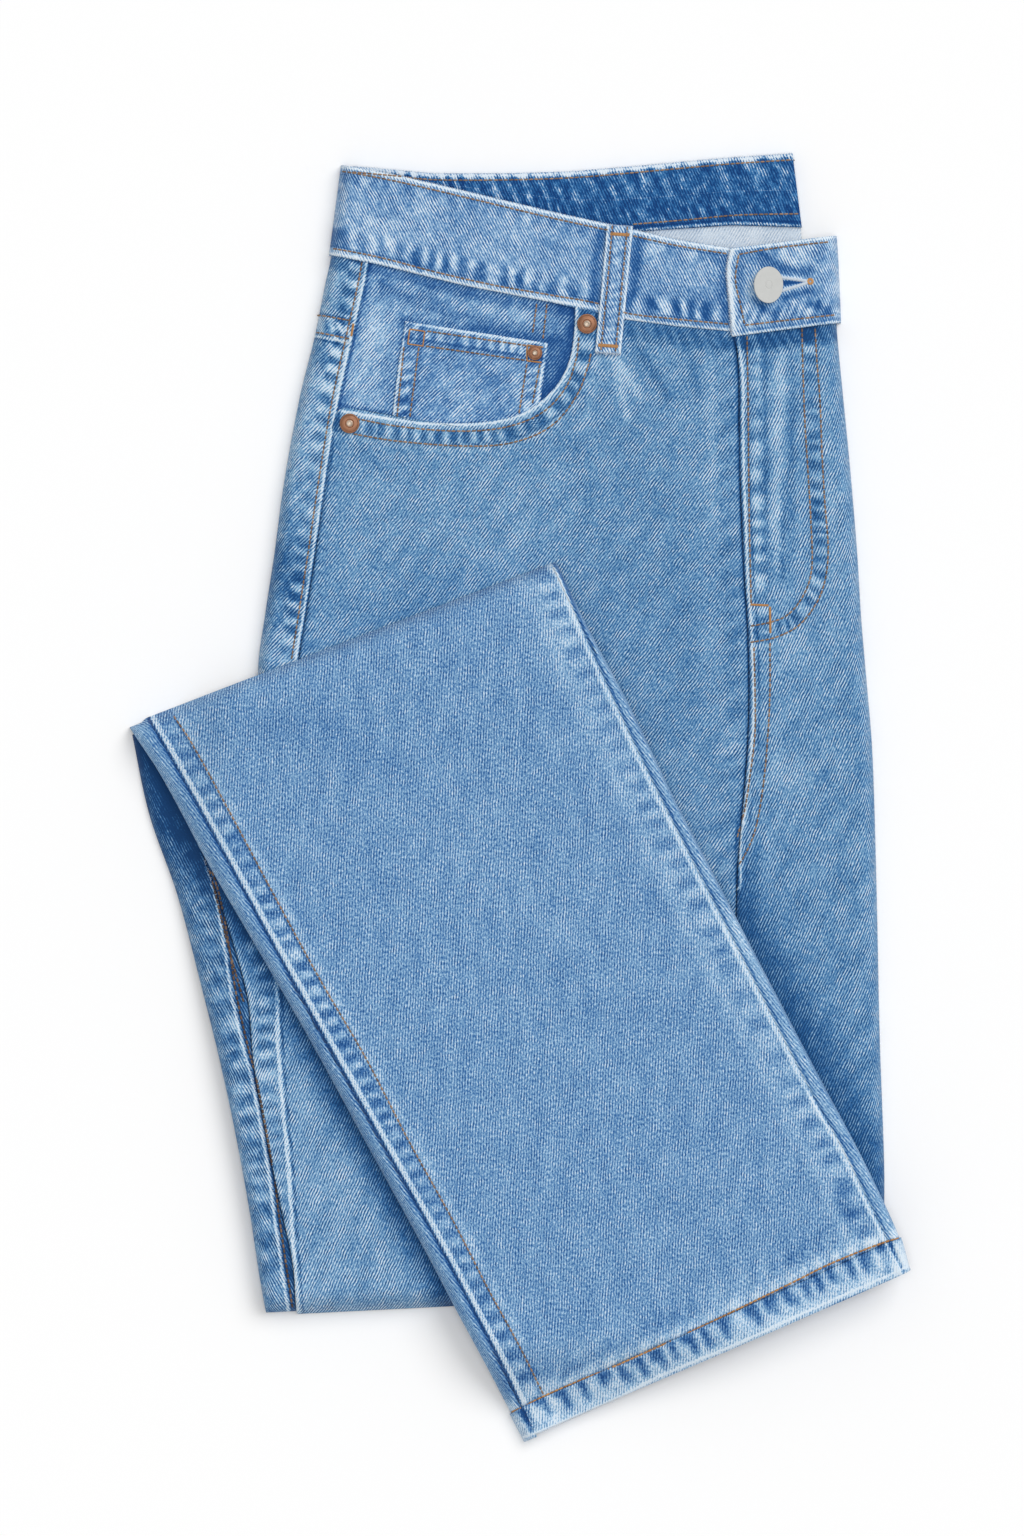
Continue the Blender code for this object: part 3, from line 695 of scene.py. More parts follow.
def under_marks(x, y):
    """Plain dark cloth under the hem."""
    return 0.2 * noise(x, y, 9.0, 71), -0.22, FAR, FAR


hem_row = across_row(ENDS, 0, 3, 1.2, left_roll=ROLL, right_roll=INNER_ROLL)
hem = level_piece(
    "hem_front", ENDS, np.linspace(HEM_ROW + 0.01, 10.12, 18), hem_row, HEM_SKIN, (-0.8, CLOTH),
    hem_marks, leg_denim,
)
ply_row = across_row(ENDS, 0, 3, 4.0, inset=4.0)
hem_back = level_piece(
    "hem_back", ENDS, down_rows(ENDS, 8.6, 9.97, 3.0), ply_row, HEM_SKIN, (2.1, 3.3), under_marks,
    strip_denim,
)
hem_left = level_piece(
    "hem_left_leg", ENDS, down_rows(ENDS, 8.6, 10.03, 3.0), ply_row, HEM_SKIN, (3.9, 6.3), under_marks,
    strip_denim,
)
settle(hem, ["right_hem"])
settle(hem_back, ["right_hem_back"])
settle(hem_left, ["left_hem"])


# Knees folded back under it: the right leg's strip at the left with its frayed felled edge, and the left
# leg wrapped outside it with a pale folded edge and a seam of its own.
KNEES = (
    ((-120.2, -245.3), (-105.9, -244.6), (160.9, -231.3)),
    ((-123.5, -226.6), (-107.3, -222.7), (153.3, -218.0)),
    ((-127.8, -198.1), (-113.0, -195.1), (141.0, -193.8)),
    ((-134.9, -159.1), (-120.6, -158.2), (126.7, -162.9)),
    ((-142.5, -124.0), (-126.3, -124.0), (108.7, -125.9)),
    ((-150.1, -93.6), (-129.2, -93.6), (92.5, -96.4)),
    ((-162.4, -47.0), (-142.6, -48.0), (68.8, -48.9)),
    ((-175.9, -8.2), (-156.3, -8.1), (43.1, 3.3)),
    ((-184.0, 29.5), (-165.0, 30.0), (11.0, 98.1)),
)
KNEE_RIDGE = (
    (-163.4, 8.1), (-156.3, -8.5), (-149.6, -29.4), (-143.9, -47.5), (-139.2, -72.7), (-136.3, -92.6),
    (-130.2, -120.2), (-126.3, -134.9), (-118.3, -179.1), (-115.9, -198.1), (-109.2, -244.1),
)
KNEE_SEAM = (
    (-122.1, -63.2), (-115.4, -86.9), (-114.5, -115.4), (-112.1, -148.2), (-109.7, -172.4),
    (-107.3, -210.4), (-105.0, -245.1),
)
KNEE_RIDGE_PUCKERS = (
    11, 27, 37, 47, 55, 63, 71, 78, 88, 98, 112, 127, 134, 144, 158, 165, 178, 185, 191, 199, 208, 226,
    237, 257,
)
KNEE_SEAM_PUCKERS = (
    0, 12, 21, 30, 39, 47, 55, 63, 76, 83, 91, 98, 105, 113, 121, 128, 136, 150, 159, 167, 179,
)
KNEE_BLUES = ("123f70", "2e679e", "6490ba", "9ac1de", "dae8f4")
knee_denim = denim("knee_denim", KNEE_BLUES, 24.0, streaks=0.3)
knee_strip_denim = denim("knee_strip_denim", KNEE_BLUES, -28.0, streaks=0.6, streak=(3.0, 9.0))


def under_knees(x, y):
    """What the knees lie on, rounded off at the lower fold."""
    return over_thighs(x, y) * round_over(inside_line(BOTTOM_FOLD, x, y) / FOLD)


def leg_shade(x, y):
    """Darker close beside the leg's end that lies on the knees."""
    leg, _ = near(line_down(ENDS, 0), x, y)
    return 0.50 * bell(leg, 0.0, 9.0)


def knee_right_marks(x, y):
    """The right leg's strip, felled along its ridge, with painted shade beyond the ridge and under the
    leg's end.
    """
    ridge, ridge_s = near(KNEE_RIDGE, x, y)
    rope = ropes(ridge_s, ridge, 53, slant=0.0, places=KNEE_RIDGE_PUCKERS)
    tone = -0.10 + 0.12 * noise(x + 0.8 * y, y * 0.2, 5.0, 54)
    tone += 0.22 * rope * between(ridge, -9.0, -1.5, 3.0)
    # Painted shade: in the strip beyond the ridge, towards the top under the leg's end, and close beside
    # that end.
    tone -= 0.34 * between(ridge, 1.2, 20.0, 1.4)
    tone -= 0.30 * ease((y + 60.0) / 50.0)
    tone -= leg_shade(x, y)
    relief = 0.6 * bell(ridge, -0.6, 1.4) + 0.3 * noise(x, y, 12.0, 55)
    return relief, tone, ridge + 0.5, np.minimum(np.abs(ridge - 1.6), np.abs(ridge - 7.5))


def knee_left_marks(x, y):
    """The left leg's cloth: pale at its folded side, with a seam that shows only below the overlap.
    Shade is painted on it under the leg's end.
    """
    seam, seam_s = near(KNEE_SEAM, x, y)
    fold, _ = near(line_down(KNEES, 1), x, y)
    rope = ropes(seam_s, seam, 61, slant=0.1, places=KNEE_SEAM_PUCKERS)
    shown = ease((-50.0 - y) / 12.0)
    tone = (0.32 * rope - 0.02) * between(seam, -9.5, -2.0, 2.0) * shown
    tone += 0.10 * between(-fold, 0.2, 1.8, 1.0)
    tone += 0.05 * noise(x, y, 26.0, 62) - 0.07
    # Darker towards the top: painted shade under the leg's end.
    tone += 0.10 - 0.35 * ease((y + 75.0) / 50.0)
    tone -= leg_shade(x, y)
    relief = shown * (0.5 * bell(seam, 0.0, 1.3) - 0.25 * bell(seam, 1.6, 0.8))
    relief += 0.35 * noise(x, y, 22.0, 63)
    edge = np.where(shown > 0.3, np.maximum(np.abs(seam) - 0.4, 0.0), FAR)
    groove = np.where(shown > 0.3, np.abs(seam - 2.2), FAR)
    return relief, tone, edge, groove


KNEE_SKIN = (under_knees, even(MID_HEIGHT), (ROLL, ROLL, FOLD))
knee_rows = down_rows(KNEES, 0, 8, 1.5, fold=FOLD)
knee_right = level_piece(
    "knee_right_leg", KNEES, knee_rows, across_row(KNEES, 0, 1, 1.2, left_roll=ROLL), KNEE_SKIN,
    (0.0, CLOTH), knee_right_marks, knee_strip_denim,
)
# Far under the leg's end the left leg needs few points across.
near_row = across_row(KNEES, 1, 2, 1.5)
far_row = across_row(KNEES, 1, 2, 8.0, right_roll=ROLL)
SPLIT = 1.0 + 75.0 / 230.0  # column number, about 75 mm in of 230
near_part = near_row[0] < SPLIT
far_part = far_row[0] >= SPLIT
left_row = tuple(np.concatenate([n[near_part], f[far_part]]) for n, f in zip(near_row, far_row))
knee_left = level_piece(
    "knee_left_leg", KNEES, knee_rows, left_row, KNEE_SKIN, (-1.4, CLOTH), knee_left_marks, knee_denim
)
settle(knee_right, ["right_knee_back"])
settle(knee_left, ["left_knee_front"])


# Thighs and hips, under the folded legs. Right front: one panel of heavy denim twill, cut away at the
# pocket, whose opening is turned in and sewn twice. Its side is felled under the back panel.
BODY = (
    ((-83.6, 300.2), (-70.3, 297.3), (100.6, 260.6), (148.7, 266.5)),
    ((-89.3, 257.4), (-71.0, 253.6), (101.6, 219.9), (150.6, 225.1)),
    ((-92.1, 244.1), (-72.7, 244.0), (103.6, 212.3), (151.3, 215.6)),
    ((-97.4, 218.0), (-79.0, 216.0), (104.5, 195.7), (153.2, 195.7)),
    ((-104.0, 191.4), (-85.5, 186.3), (104.5, 178.1), (155.1, 176.7)),
    ((-111.6, 150.6), (-91.4, 150.6), (105.0, 149.2), (157.7, 149.2)),
    ((-116.4, 115.4), (-96.6, 115.4), (106.4, 114.9), (160.5, 114.9)),
    ((-120.6, 87.9), (-101.0, 86.9), (108.3, 84.1), (162.4, 84.1)),
    ((-124.0, 62.7), (-105.0, 61.3), (109.2, 55.6), (164.8, 56.0)),
    ((-124.4, 17.6), (-105.9, 17.6), (108.3, 19.9), (167.7, 19.9)),
    ((-124.0, -41.8), (-105.0, -41.8), (103.5, -41.8), (169.6, -41.8)),
    ((-123.5, -115.4), (-104.0, -115.4), (102.6, -115.4), (171.2, -115.4)),
    ((-122.5, -181.9), (-103.1, -181.9), (102.6, -177.2), (173.4, -181.9)),
    ((-121.6, -234.5), (-102.1, -233.5), (102.6, -224.5), (172.4, -220.0)),
)
RIGHT_FRONT = (
    ((26.6, 235.6), (102.0, 221.5)),
    ((25.6, 216.6), (103.6, 211.4)),
    ((22.8, 204.7), (104.5, 201.9)),
    ((17.1, 194.8), (104.5, 192.8)),
    ((7.1, 185.7), (104.5, 183.3)),
    ((-3.8, 180.5), (104.5, 175.3)),
    ((-30.9, 177.5), (105.0, 166.7)),
    ((-67.5, 181.2), (105.0, 157.2)),
    ((-85.5, 184.0), (105.0, 148.7)),
    ((-91.4, 152.9), (105.9, 126.8)),
    ((-96.4, 117.3), (107.3, 103.1)),
    ((-101.0, 87.9), (108.8, 74.6)),
    ((-105.0, 61.3), (109.2, 50.8)),
    ((-105.9, 17.6), (108.3, 19.9)),
    ((-105.0, -41.8), (103.5, -41.8)),
    ((-104.0, -115.4), (102.6, -115.4)),
    ((-103.1, -181.9), (102.6, -177.2)),
    ((-102.1, -233.5), (102.6, -224.5)),
)
OUTSEAM = line_down(BODY[1:], 1)
FLY = (
    (102.1, 219.9), (104.5, 197.6), (104.5, 178.1), (105.0, 149.2), (105.9, 129.7), (106.9, 100.7),
    (107.8, 90.7), (108.8, 74.6), (109.2, 61.3), (109.7, 40.4), (108.3, 19.9), (106.9, 4.3),
    (105.0, -10.9), (103.5, -19.0), (103.5, -41.8),
)
OPENING = (
    (26.6, 232.8), (25.6, 216.6), (22.8, 204.7), (17.1, 194.8), (7.1, 185.7), (-3.8, 180.5), (-17.1, 178.1),
    (-30.9, 177.7), (-48.9, 178.6), (-67.5, 181.4), (-85.5, 184.3),
)
BAND_FOOT = (
    (-89.3, 257.4), (-67.5, 253.2), (-39.9, 246.0), (-12.8, 239.9), (14.7, 235.1), (36.1, 231.3),
    (50.3, 226.6), (74.1, 223.7), (99.3, 221.3), (119.2, 221.8), (150.6, 225.1),
)
OPENING_PUCKERS = (
    2, 8, 12, 22, 32, 37, 45, 55, 60, 68, 75, 81, 87, 93, 100, 107, 113, 119, 127, 132, 139, 145,
)
FLY_PUCKERS = (
    0, 7, 15, 22, 29, 39, 49, 62, 75, 88, 95, 104, 111, 129, 138, 147, 152, 161, 176, 196, 207, 220, 234,
)
SIDE_PUCKERS = (
    0, 8, 16, 26, 31, 37, 42, 50, 58, 69, 78, 86, 96, 106, 116, 127, 138, 144, 154, 163, 171, 179, 188,
    200, 211, 224,
)
FOOT_PUCKERS = (
    6, 15, 23, 32, 41, 48, 55, 63, 72, 84, 92, 99, 107, 118, 128, 143, 155, 168, 175, 182, 192, 201, 214,
    224, 236,
)
BODY_BLUES = ("124478", "2c669f", "5f8fb9", "9ac1de", "dae8f4")
front_denim = denim("front_denim", BODY_BLUES, 36.0)
left_denim = denim("left_denim", BODY_BLUES, 24.0, streaks=0.35)
side_denim = denim("side_denim", BODY_BLUES, 44.0, streaks=0.6, streak=(2.8, 8.0))

# Creases, their dark strokes painted shade, and worn streaks, from x, y to x, y, width in mm and tone.
FRONT_STROKES = (
    (42.0, 214.0, 58.0, 190.0, 2.6, 0.26), (46.0, 204.0, 52.0, 178.0, 2.0, 0.18),
    (36.0, 196.0, 30.0, 172.0, 2.5, 0.10), (56.0, 214.0, 72.0, 188.0, 2.6, -0.18),
    (90.0, 210.0, 93.0, 120.0, 3.0, 0.10), (80.0, 214.0, 86.0, 190.0, 2.2, -0.08),
    (-80.0, 168.0, -60.0, 152.0, 3.0, -0.08), (88.0, 90.0, 100.0, 20.0, 7.0, 0.07),
)


def front_marks(x, y):
    """The right front: roped along the pocket, the fly and the side, with painted shade under the band
    and along the fly, where the left front laps over it.
    """
    opening, opening_s = near(OPENING, x, y)
    fly, fly_s = near(FLY, x, y)
    side, side_s = near(OUTSEAM, x, y)
    band, band_s = near(BAND_FOOT, x, y)
    rope = ropes(opening_s, opening, 81, slant=0.0, places=OPENING_PUCKERS)
    tone = (0.30 * rope - 0.02) * between(opening, 3.6, 9.6, 1.6)
    tone += 0.20 * between(opening, 0.2, 3.0, 0.9)
    tone += (0.10 + 0.10 * ropes(opening_s, opening, 83)) * between(opening, 10.5, 14.0, 2.5) - 0.03
    fly_rope = ropes(fly_s, fly, 85, period=11.0)
    # The dark line along the fly is painted shadow of the left front lapped over it.
    tone += (0.10 * fly_rope - 0.03) * between(fly, -11.0, -1.5, 4.0) - 0.18 * between(fly, -1.4, 3.0, 1.0)
    side_rope = ropes(side_s, side, 87, period=6.0)
    tone += (0.10 * side_rope - 0.05) * between(side, 0.5, 5.5, 3.0)
    # Roping under the band, with painted shade under the band's foot.
    tone += (0.12 * ropes(band_s, band, 89, period=6.5) - 0.22) * between(band, -9.0, 0.5, 4.0)
    tone += strokes(x, y, FRONT_STROKES) + 0.05 * noise(x, y, 45.0, 90)
    relief = 1.1 * between(opening, 0.0, 12.0, 0.8) * (1.0 - ease((opening - 9.0) / 5.0))
    relief += 0.28 * rope * between(opening, 3.0, 10.0, 2.0)
    relief -= 0.3 * bell(opening, 3.0, 0.7) + 0.3 * bell(opening, 10.3, 0.8)
    relief += 0.4 * noise(x, y, 38.0, 91) + 0.14 * noise(x, y, 12.0, 92)
    relief += 0.2 * fly_rope * between(fly, -10.0, -1.0, 4.0) + 0.6 * strokes(x, y, FRONT_STROKES)
    edge = opening - 0.8
    groove = np.minimum(np.abs(opening - 10.3) + 0.3, np.minimum(np.abs(fly), np.abs(side - 0.6)))
    return relief, tone, edge, groove


GROUND = even(0.0)
NO_ROLLS = (0.0, 0.0, 0.0)
FLAT_SKIN = (GROUND, body_height, NO_ROLLS)
front_rows = np.concatenate([down_rows(RIGHT_FRONT, 0, 14, 1.4), down_rows(RIGHT_FRONT, 14, 17, 9.0)[1:]])
front_right = level_piece(
    "front_right", RIGHT_FRONT, front_rows, across_row(RIGHT_FRONT, 0, 1, 1.3), FLAT_SKIN, (0.0, CLOTH),
    front_marks, front_denim,
)
settle(front_right, ["front_right_panel"])


# Left front: the second panel laps over the right one along the fly and wraps the side. The fly's
# facing inside is held by two rows of stitches that curve in at the foot.
J_OUTER = (
    (140.6, 222.8), (141.5, 207.1), (143.0, 187.6), (143.9, 163.4), (145.3, 139.2), (146.8, 120.2),
    (146.3, 108.3), (143.9, 97.8), (139.2, 88.8), (132.5, 81.2), (124.9, 77.0), (118.8, 75.0),
    (110.7, 73.6),
)
J_INNER = (
    (134.4, 222.8), (134.9, 202.3), (135.8, 178.1), (137.3, 153.9), (138.7, 129.7), (139.2, 110.2),
    (137.3, 100.7), (132.5, 91.7), (126.8, 86.0), (119.7, 83.1), (110.2, 81.2),
)
J_PUCKERS = (5, 15, 24, 38, 43, 53, 57, 66, 76, 83, 90, 97, 102, 111, 118, 127, 133, 146, 150, 155, 162)
LEFT_STROKES = (
    (116.5, 214.0, 117.6, 120.0, 1.3, -0.20), (124.5, 212.0, 121.5, 112.0, 3.0, 0.20),
    (129.5, 206.0, 129.5, 120.0, 2.0, -0.12), (112.5, 176.0, 113.5, 100.0, 1.8, 0.16),
    (126.0, 150.0, 125.0, 104.0, 1.2, -0.16), (120.5, 118.0, 117.5, 96.0, 1.6, -0.18),
    (113.0, 216.0, 114.0, 190.0, 1.4, 0.14), (139.0, 160.0, 142.0, 120.0, 2.2, -0.08),
    (124.0, 70.0, 122.0, 10.0, 3.0, 0.07),
)


def left_marks(x, y):
    """The left front: roped between the fly's rows and along its edge, with painted shade under the band
    and beside the leg's end that lies on it.
    """
    fly, fly_s = near(FLY, x, y)
    outer, outer_s = near(J_OUTER, x, y)
    band, band_s = near(BAND_FOOT, x, y)
    rope = ropes(outer_s, outer, 95, slant=-0.2, places=J_PUCKERS)
    inside = between(outer, -6.6, -0.6, 1.6)
    tone = (0.27 * rope - 0.08) * inside + 0.05 * between(outer, 1.0, 5.0, 2.0)
    tone -= 0.06 * ease((60.0 - y) / 120.0)
    fly_rope = ropes(fly_s, fly, 97, slant=0.1, places=FLY_PUCKERS)
    upper = ease((y - 66.0) / 6.0)
    tone += (0.21 * fly_rope) * between(fly, 4.8, 11.0, 2.5) * (0.35 + 0.65 * upper)
    # Roping under the band, with painted shade under the band's foot.
    tone += (0.20 * ropes(band_s, band, 99, period=6.0) - 0.40) * between(band, -8.5, 0.5, 6.0)
    tone += strokes(x, y, LEFT_STROKES) + 0.04 * noise(x, y, 40.0, 98)
    # Painted shadow of the leg's end, along its inner edge.
    over, _ = near(line_down(ENDS, 3), x, y)
    tone -= 0.34 * bell(over, 0.0, 14.0) * ease((-14.0 - y) / 20.0)
    relief = 0.9 * between(fly, 0.4, 60.0, 0.9) * (1.0 - ease(fly / 30.0))
    relief += 0.2 * fly_rope * between(fly, 3.0, 12.0, 2.0)
    relief += 0.25 * rope * inside + 0.6 * strokes(x, y, LEFT_STROKES) - 0.3 * bell(fly, 4.4, 0.8)
    relief += 0.3 * noise(x, y, 30.0, 96)
    lap = np.minimum(upper + 0.75, 1.0)
    tone += 0.14 * between(fly, 0.2, 2.4, 0.8) * (1.0 - upper)
    edge = (fly - 1.9) / lap
    groove = np.minimum(np.abs(fly), np.abs(fly - 4.6) + 0.3)
    return relief, tone, edge, groove


BODY_SKIN = (GROUND, body_height, (ROLL, ROLL, 0.0))
left_rows = np.concatenate([
    down_rows(BODY, 0.95, 12, 1.4, column=3), down_rows(BODY, 12, 13, 9.0, column=3)[1:],
])
front_left = level_piece(
    "front_left", BODY, left_rows, across_row(BODY, 2, 3, 1.2, right_roll=ROLL), BODY_SKIN, (-0.5, CLOTH),
    left_marks, left_denim,
)
settle(front_left, ["front_left_panel"])


# Right back and yoke: of the back panel, the strip left of the outseam shows, turned under at the side.
# Its edge is felled over the front, and the yoke is felled over it in turn, just under the band.
YOKE_LOW = ((-97.4, 218.5), (-80.3, 214.7))
YOKE_HIGH = ((-95.0, 230.8), (-77.4, 227.0))
# Dark strokes on the side strip, from x, y to x, y, width in mm and tone; the upper one is painted shade
# along the facing's seam.
SIDE_STROKES = ((-82.0, 244.0, -84.5, 224.0, 3.5, -0.34), (-92.5, 221.0, -94.0, 204.0, 4.0, -0.22))


def nearer(a, b, a_share=1.0, b_share=1.0):
    """The smaller of two distances from worn edges. A share under 1 makes that edge's wear wider."""
    return np.where(np.abs(a) < np.abs(b), a * a_share, b * b_share)


def side_marks(x, y):
    """The strip beside the outseam: strongly roped, dark at the hip and at the yoke's seam, with painted
    shade under the band and beside the facing's seam.
    """
    side, side_s = near(OUTSEAM, x, y)
    low, _ = near(YOKE_LOW, x, y)
    high, high_s = near(YOKE_HIGH, x, y)
    rope = ropes(side_s, side, 101, slant=-0.12, places=SIDE_PUCKERS)
    tone = 0.08 + 0.38 * rope * between(side, -9.5, -3.2, 1.6) + 0.08 * noise(x, y, 14.0, 102)
    tone += 0.10 * between(side, -3.0, -1.2, 0.8) - 0.30 * bell(y, 106.0, 24.0)
    # Painted shade under the band.
    band, _ = near(BAND_FOOT, x, y)
    tone -= 0.28 * between(band, -6.0, 0.5, 3.0)
    tone += strokes(x, y, SIDE_STROKES)
    tone += (0.22 * ropes(high_s + 3.0, high, 103, period=5.0)) * between(low, 1.0, 10.5, 2.0)
    relief = 0.5 * bell(side, -1.2, 1.5) + 0.25 * rope * between(side, -9.5, -3.0, 2.0)
    relief += 0.5 * between(low, 0.0, 11.0, 1.0) - 0.3 * bell(side, -3.6, 0.7)
    edge = nearer(side + 1.3, low - 0.6)
    groove = np.minimum(np.abs(side), np.minimum(np.abs(low + 0.4), np.abs(low - 11.6)))
    return relief, tone, edge, groove


back_row = across_row(BODY, 0, 1, 1.1, left_roll=ROLL)
back_rows = np.concatenate([
    down_rows(BODY, 2.99, 9, 1.3, column=0), down_rows(BODY, 9, 13, 9.0, column=0)[1:],
])
back_right = level_piece(
    "back_right", BODY, back_rows, back_row, BODY_SKIN, (0.0, CLOTH), side_marks, side_denim
)
yoke = level_piece(
    "yoke_outside", BODY, down_rows(BODY, 0.95, 3.02, 1.0, column=0), back_row, BODY_SKIN, (0.0, CLOTH),
    side_marks, side_denim,
)
settle(back_right, ["back_right_panel"])
settle(yoke, ["yoke"])


# Pocket: a facing of the same cloth sewn to the bag shows in the opening. The coin pocket is a small
# patch of it, hemmed at the top and sewn down the sides twice, so its edges are roped and worn pale.
FACING = (
    ((-71.5, 257.2), (30.3, 237.9)),
    ((-75.8, 237.5), (28.5, 215.8)),
    ((-80.1, 221.8), (26.0, 203.2)),
    ((-83.3, 207.6), (20.6, 192.2)),
    ((-85.1, 198.1), (11.0, 182.5)),
    ((-86.5, 188.5), (0.1, 176.3)),
    ((-87.2, 180.3), (-15.3, 172.8)),
)
COIN = (
    ((-54.1, 226.1), (13.8, 215.6)),
    ((-56.5, 212.3), (12.6, 204.2)),
    ((-58.6, 196.5), (10.9, 192.0)),
    ((-60.7, 176.6), (9.0, 178.5)),
)
COIN_TOP = COIN[0]
COIN_LEFT = ((-54.1, 226.1), (-60.3, 181.0))
COIN_PUCKERS = (4, 8, 14, 21, 26, 33, 39, 45, 50, 55, 58, 62, 66)
COIN_RIGHT = ((13.8, 215.6), (9.0, 185.7))
COIN_OUTLINE = ((-60.3, 176.0), (-58.0, 196.0), (-54.1, 226.1), (-53.0, 226.0))
FACING_STROKES = (
    (-24.0, 224.5, 11.0, 219.0, 4.5, -0.30), (-66.0, 244.0, -48.0, 234.0, 2.2, -0.18),
    (-58.0, 240.0, -30.0, 232.0, 3.0, -0.14), (-66.0, 236.0, -74.0, 190.0, 6.0, 0.17),
    (-40.0, 236.0, 10.0, 226.0, 4.0, 0.06), (-46.0, 232.0, -20.0, 228.0, 1.6, -0.14),
    (18.0, 222.0, 20.0, 200.0, 3.0, -0.16),
)
POCKET_BLUES = ("154784", "3a6ea8", "6a96c1", "a0c5e3", "dfecf7")
COIN_BLUES = ("154784", "386da8", "6491bf", "9dc3e2", "dfecf7")
pocket_denim = denim("pocket_denim", POCKET_BLUES, 41.0, streaks=0.48, streak=(3.4, 8.0))
coin_denim = denim("coin_denim", COIN_BLUES, 44.0, streaks=0.55, streak=(3.0, 6.0))


def facing_marks(x, y):
    """The facing: shaded under the opening's edge, under the band and round the coin pocket."""
    band, _ = near(BAND_FOOT, x, y)
    opening, _ = near(OPENING, x, y)
    side, _ = near(OUTSEAM, x, y)
    tone = 0.10 * noise(x, y * 0.4, 8.0, 111) - 0.26 * between(opening, -2.5, 5.0, 2.5)
    tone += strokes(x, y, FACING_STROKES)
    tone -= 0.10 * between(side, -1.0, 2.5, 1.5) + 0.24 * between(band, -5.0, 0.5, 3.0)
    outline, _ = near(COIN_OUTLINE, x, y)
    head, _ = near(COIN_TOP, x, y)
    flank, _ = near(COIN_RIGHT, x, y)
    tone -= 0.22 * bell(head, 0.6, 2.4) + 0.26 * bell(flank, 0.8, 2.8)
    tone -= 0.20 * bell(outline, 0.0, 2.0) + 0.34 * bell(opening, 0.0, 8.0) * ease((x + 4.0) / 14.0)
    return 0.35 * noise(x, y, 18.0, 112), tone, FAR, np.minimum(np.abs(side - 0.3), FAR)


def coin_marks(x, y):
    """The coin pocket: roped along its hem and both sides."""
    head, head_s = near(COIN_TOP, x, y)
    left, left_s = near(COIN_LEFT, x, y)
    right, right_s = near(COIN_RIGHT, x, y)
    head_rope = ropes(head_s, head, 113, slant=0.0, places=COIN_PUCKERS)
    tone = -0.02 + 0.36 * head_rope * between(head, -7.4, -2.0, 1.4)
    tone += 0.40 * ropes(left_s, left, 115, period=6.5) * between(left, 0.8, 6.8, 1.4)
    tone += 0.40 * ropes(right_s, right, 117, period=6.5) * between(right, -7.0, -0.8, 1.4)
    tone += 0.12 * noise(x, y, 9.0, 119) - 0.16 * bell(left, 9.0, 2.0) - 0.16 * bell(head, -9.6, 1.6)
    relief = 0.2 * noise(x, y, 7.0, 118)
    edge = nearer(right + 0.6, nearer(head + 0.7, left - 0.6))
    return relief, tone, edge, np.minimum(np.abs(head + 7.8), FAR)


facing = level_piece(
    "pocket_facing_cloth", FACING, down_rows(FACING, 0, 6, 1.2), across_row(FACING, 0, 1, 1.2), FLAT_SKIN,
    (0.6, 1.6), facing_marks, pocket_denim,
)
coin = level_piece(
    "coin_pocket_cloth", COIN, down_rows(COIN, 0, 3, 0.9), across_row(COIN, 0, 1, 0.9), FLAT_SKIN,
    (-0.1, 0.5), coin_marks, coin_denim,
)
settle(facing, ["pocket_facing"])
settle(coin, ["coin_pocket"])


# Waistband: a straight doubled strip, sewn along both edges, paler than the panels where it has rubbed.
# Its left end laps over the button end with a free, frayed edge.
BAND = (
    (
        (-83.6, 300.2), (-58.4, 295.4), (-21.8, 286.9), (14.7, 278.2), (50.3, 270.4), (74.1, 265.0),
        (99.6, 260.8), (104.6, 261.0),
    ),
    (
        (-89.3, 257.4), (-64.5, 252.4), (-27.0, 243.2), (14.7, 235.1), (50.3, 226.9), (74.1, 223.7),
        (100.6, 221.2), (104.6, 220.9),
    ),
)
BAND_TOP = BAND[0][:7]
END_BAND = (
    ((100.2, 260.5), (148.7, 266.5)),
    ((98.6, 249.9), (149.4, 256.5)),
    ((99.8, 234.7), (150.2, 240.0)),
    ((101.2, 218.6), (150.8, 225.1)),
)
HEAD_PUCKERS = (6, 16, 21, 33, 45, 53, 62, 71, 77, 85, 95, 102, 110, 117, 126, 143, 163, 176)
# Marks on the front band. The long dark strokes on both sides of the belt loop and left of the lapped end
# are painted shadow.
BAND_STROKES = (
    (98.6, 256.0, 97.4, 236.0, 3.4, -0.30), (60.0, 240.0, 96.0, 233.0, 5.0, -0.14),
    (44.0, 262.0, 58.0, 250.0, 4.0, -0.12), (57.0, 266.0, 54.0, 236.0, 2.4, -0.42),
    (38.0, 268.0, 34.5, 232.0, 2.6, -0.42), (-52.0, 256.0, -46.0, 250.5, 1.5, -0.30),
    (-36.0, 253.5, -28.0, 247.0, 1.4, -0.34), (-26.0, 252.5, -20.0, 245.5, 1.2, -0.30),
    (-14.0, 249.0, -6.0, 243.5, 1.6, -0.36), (-2.0, 247.5, 5.0, 241.0, 1.3, -0.34),
    (10.0, 245.0, 17.0, 239.0, 1.5, -0.32), (22.0, 243.0, 27.0, 237.5, 1.2, -0.28),
    (-56.0, 251.0, -50.0, 259.0, 1.4, -0.26), (-66.0, 254.0, -62.0, 261.0, 1.4, -0.22),
    (62.0, 236.0, 68.0, 229.5, 1.4, -0.34), (73.0, 234.5, 78.0, 228.0, 1.3, -0.30),
    (84.0, 233.0, 90.0, 227.0, 1.4, -0.32), (-74.0, 272.0, -60.0, 262.0, 5.0, 0.08),
    (-20.0, 276.0, 8.0, 262.0, 6.0, 0.07), (60.0, 258.0, 88.0, 246.0, 5.0, 0.07),
)
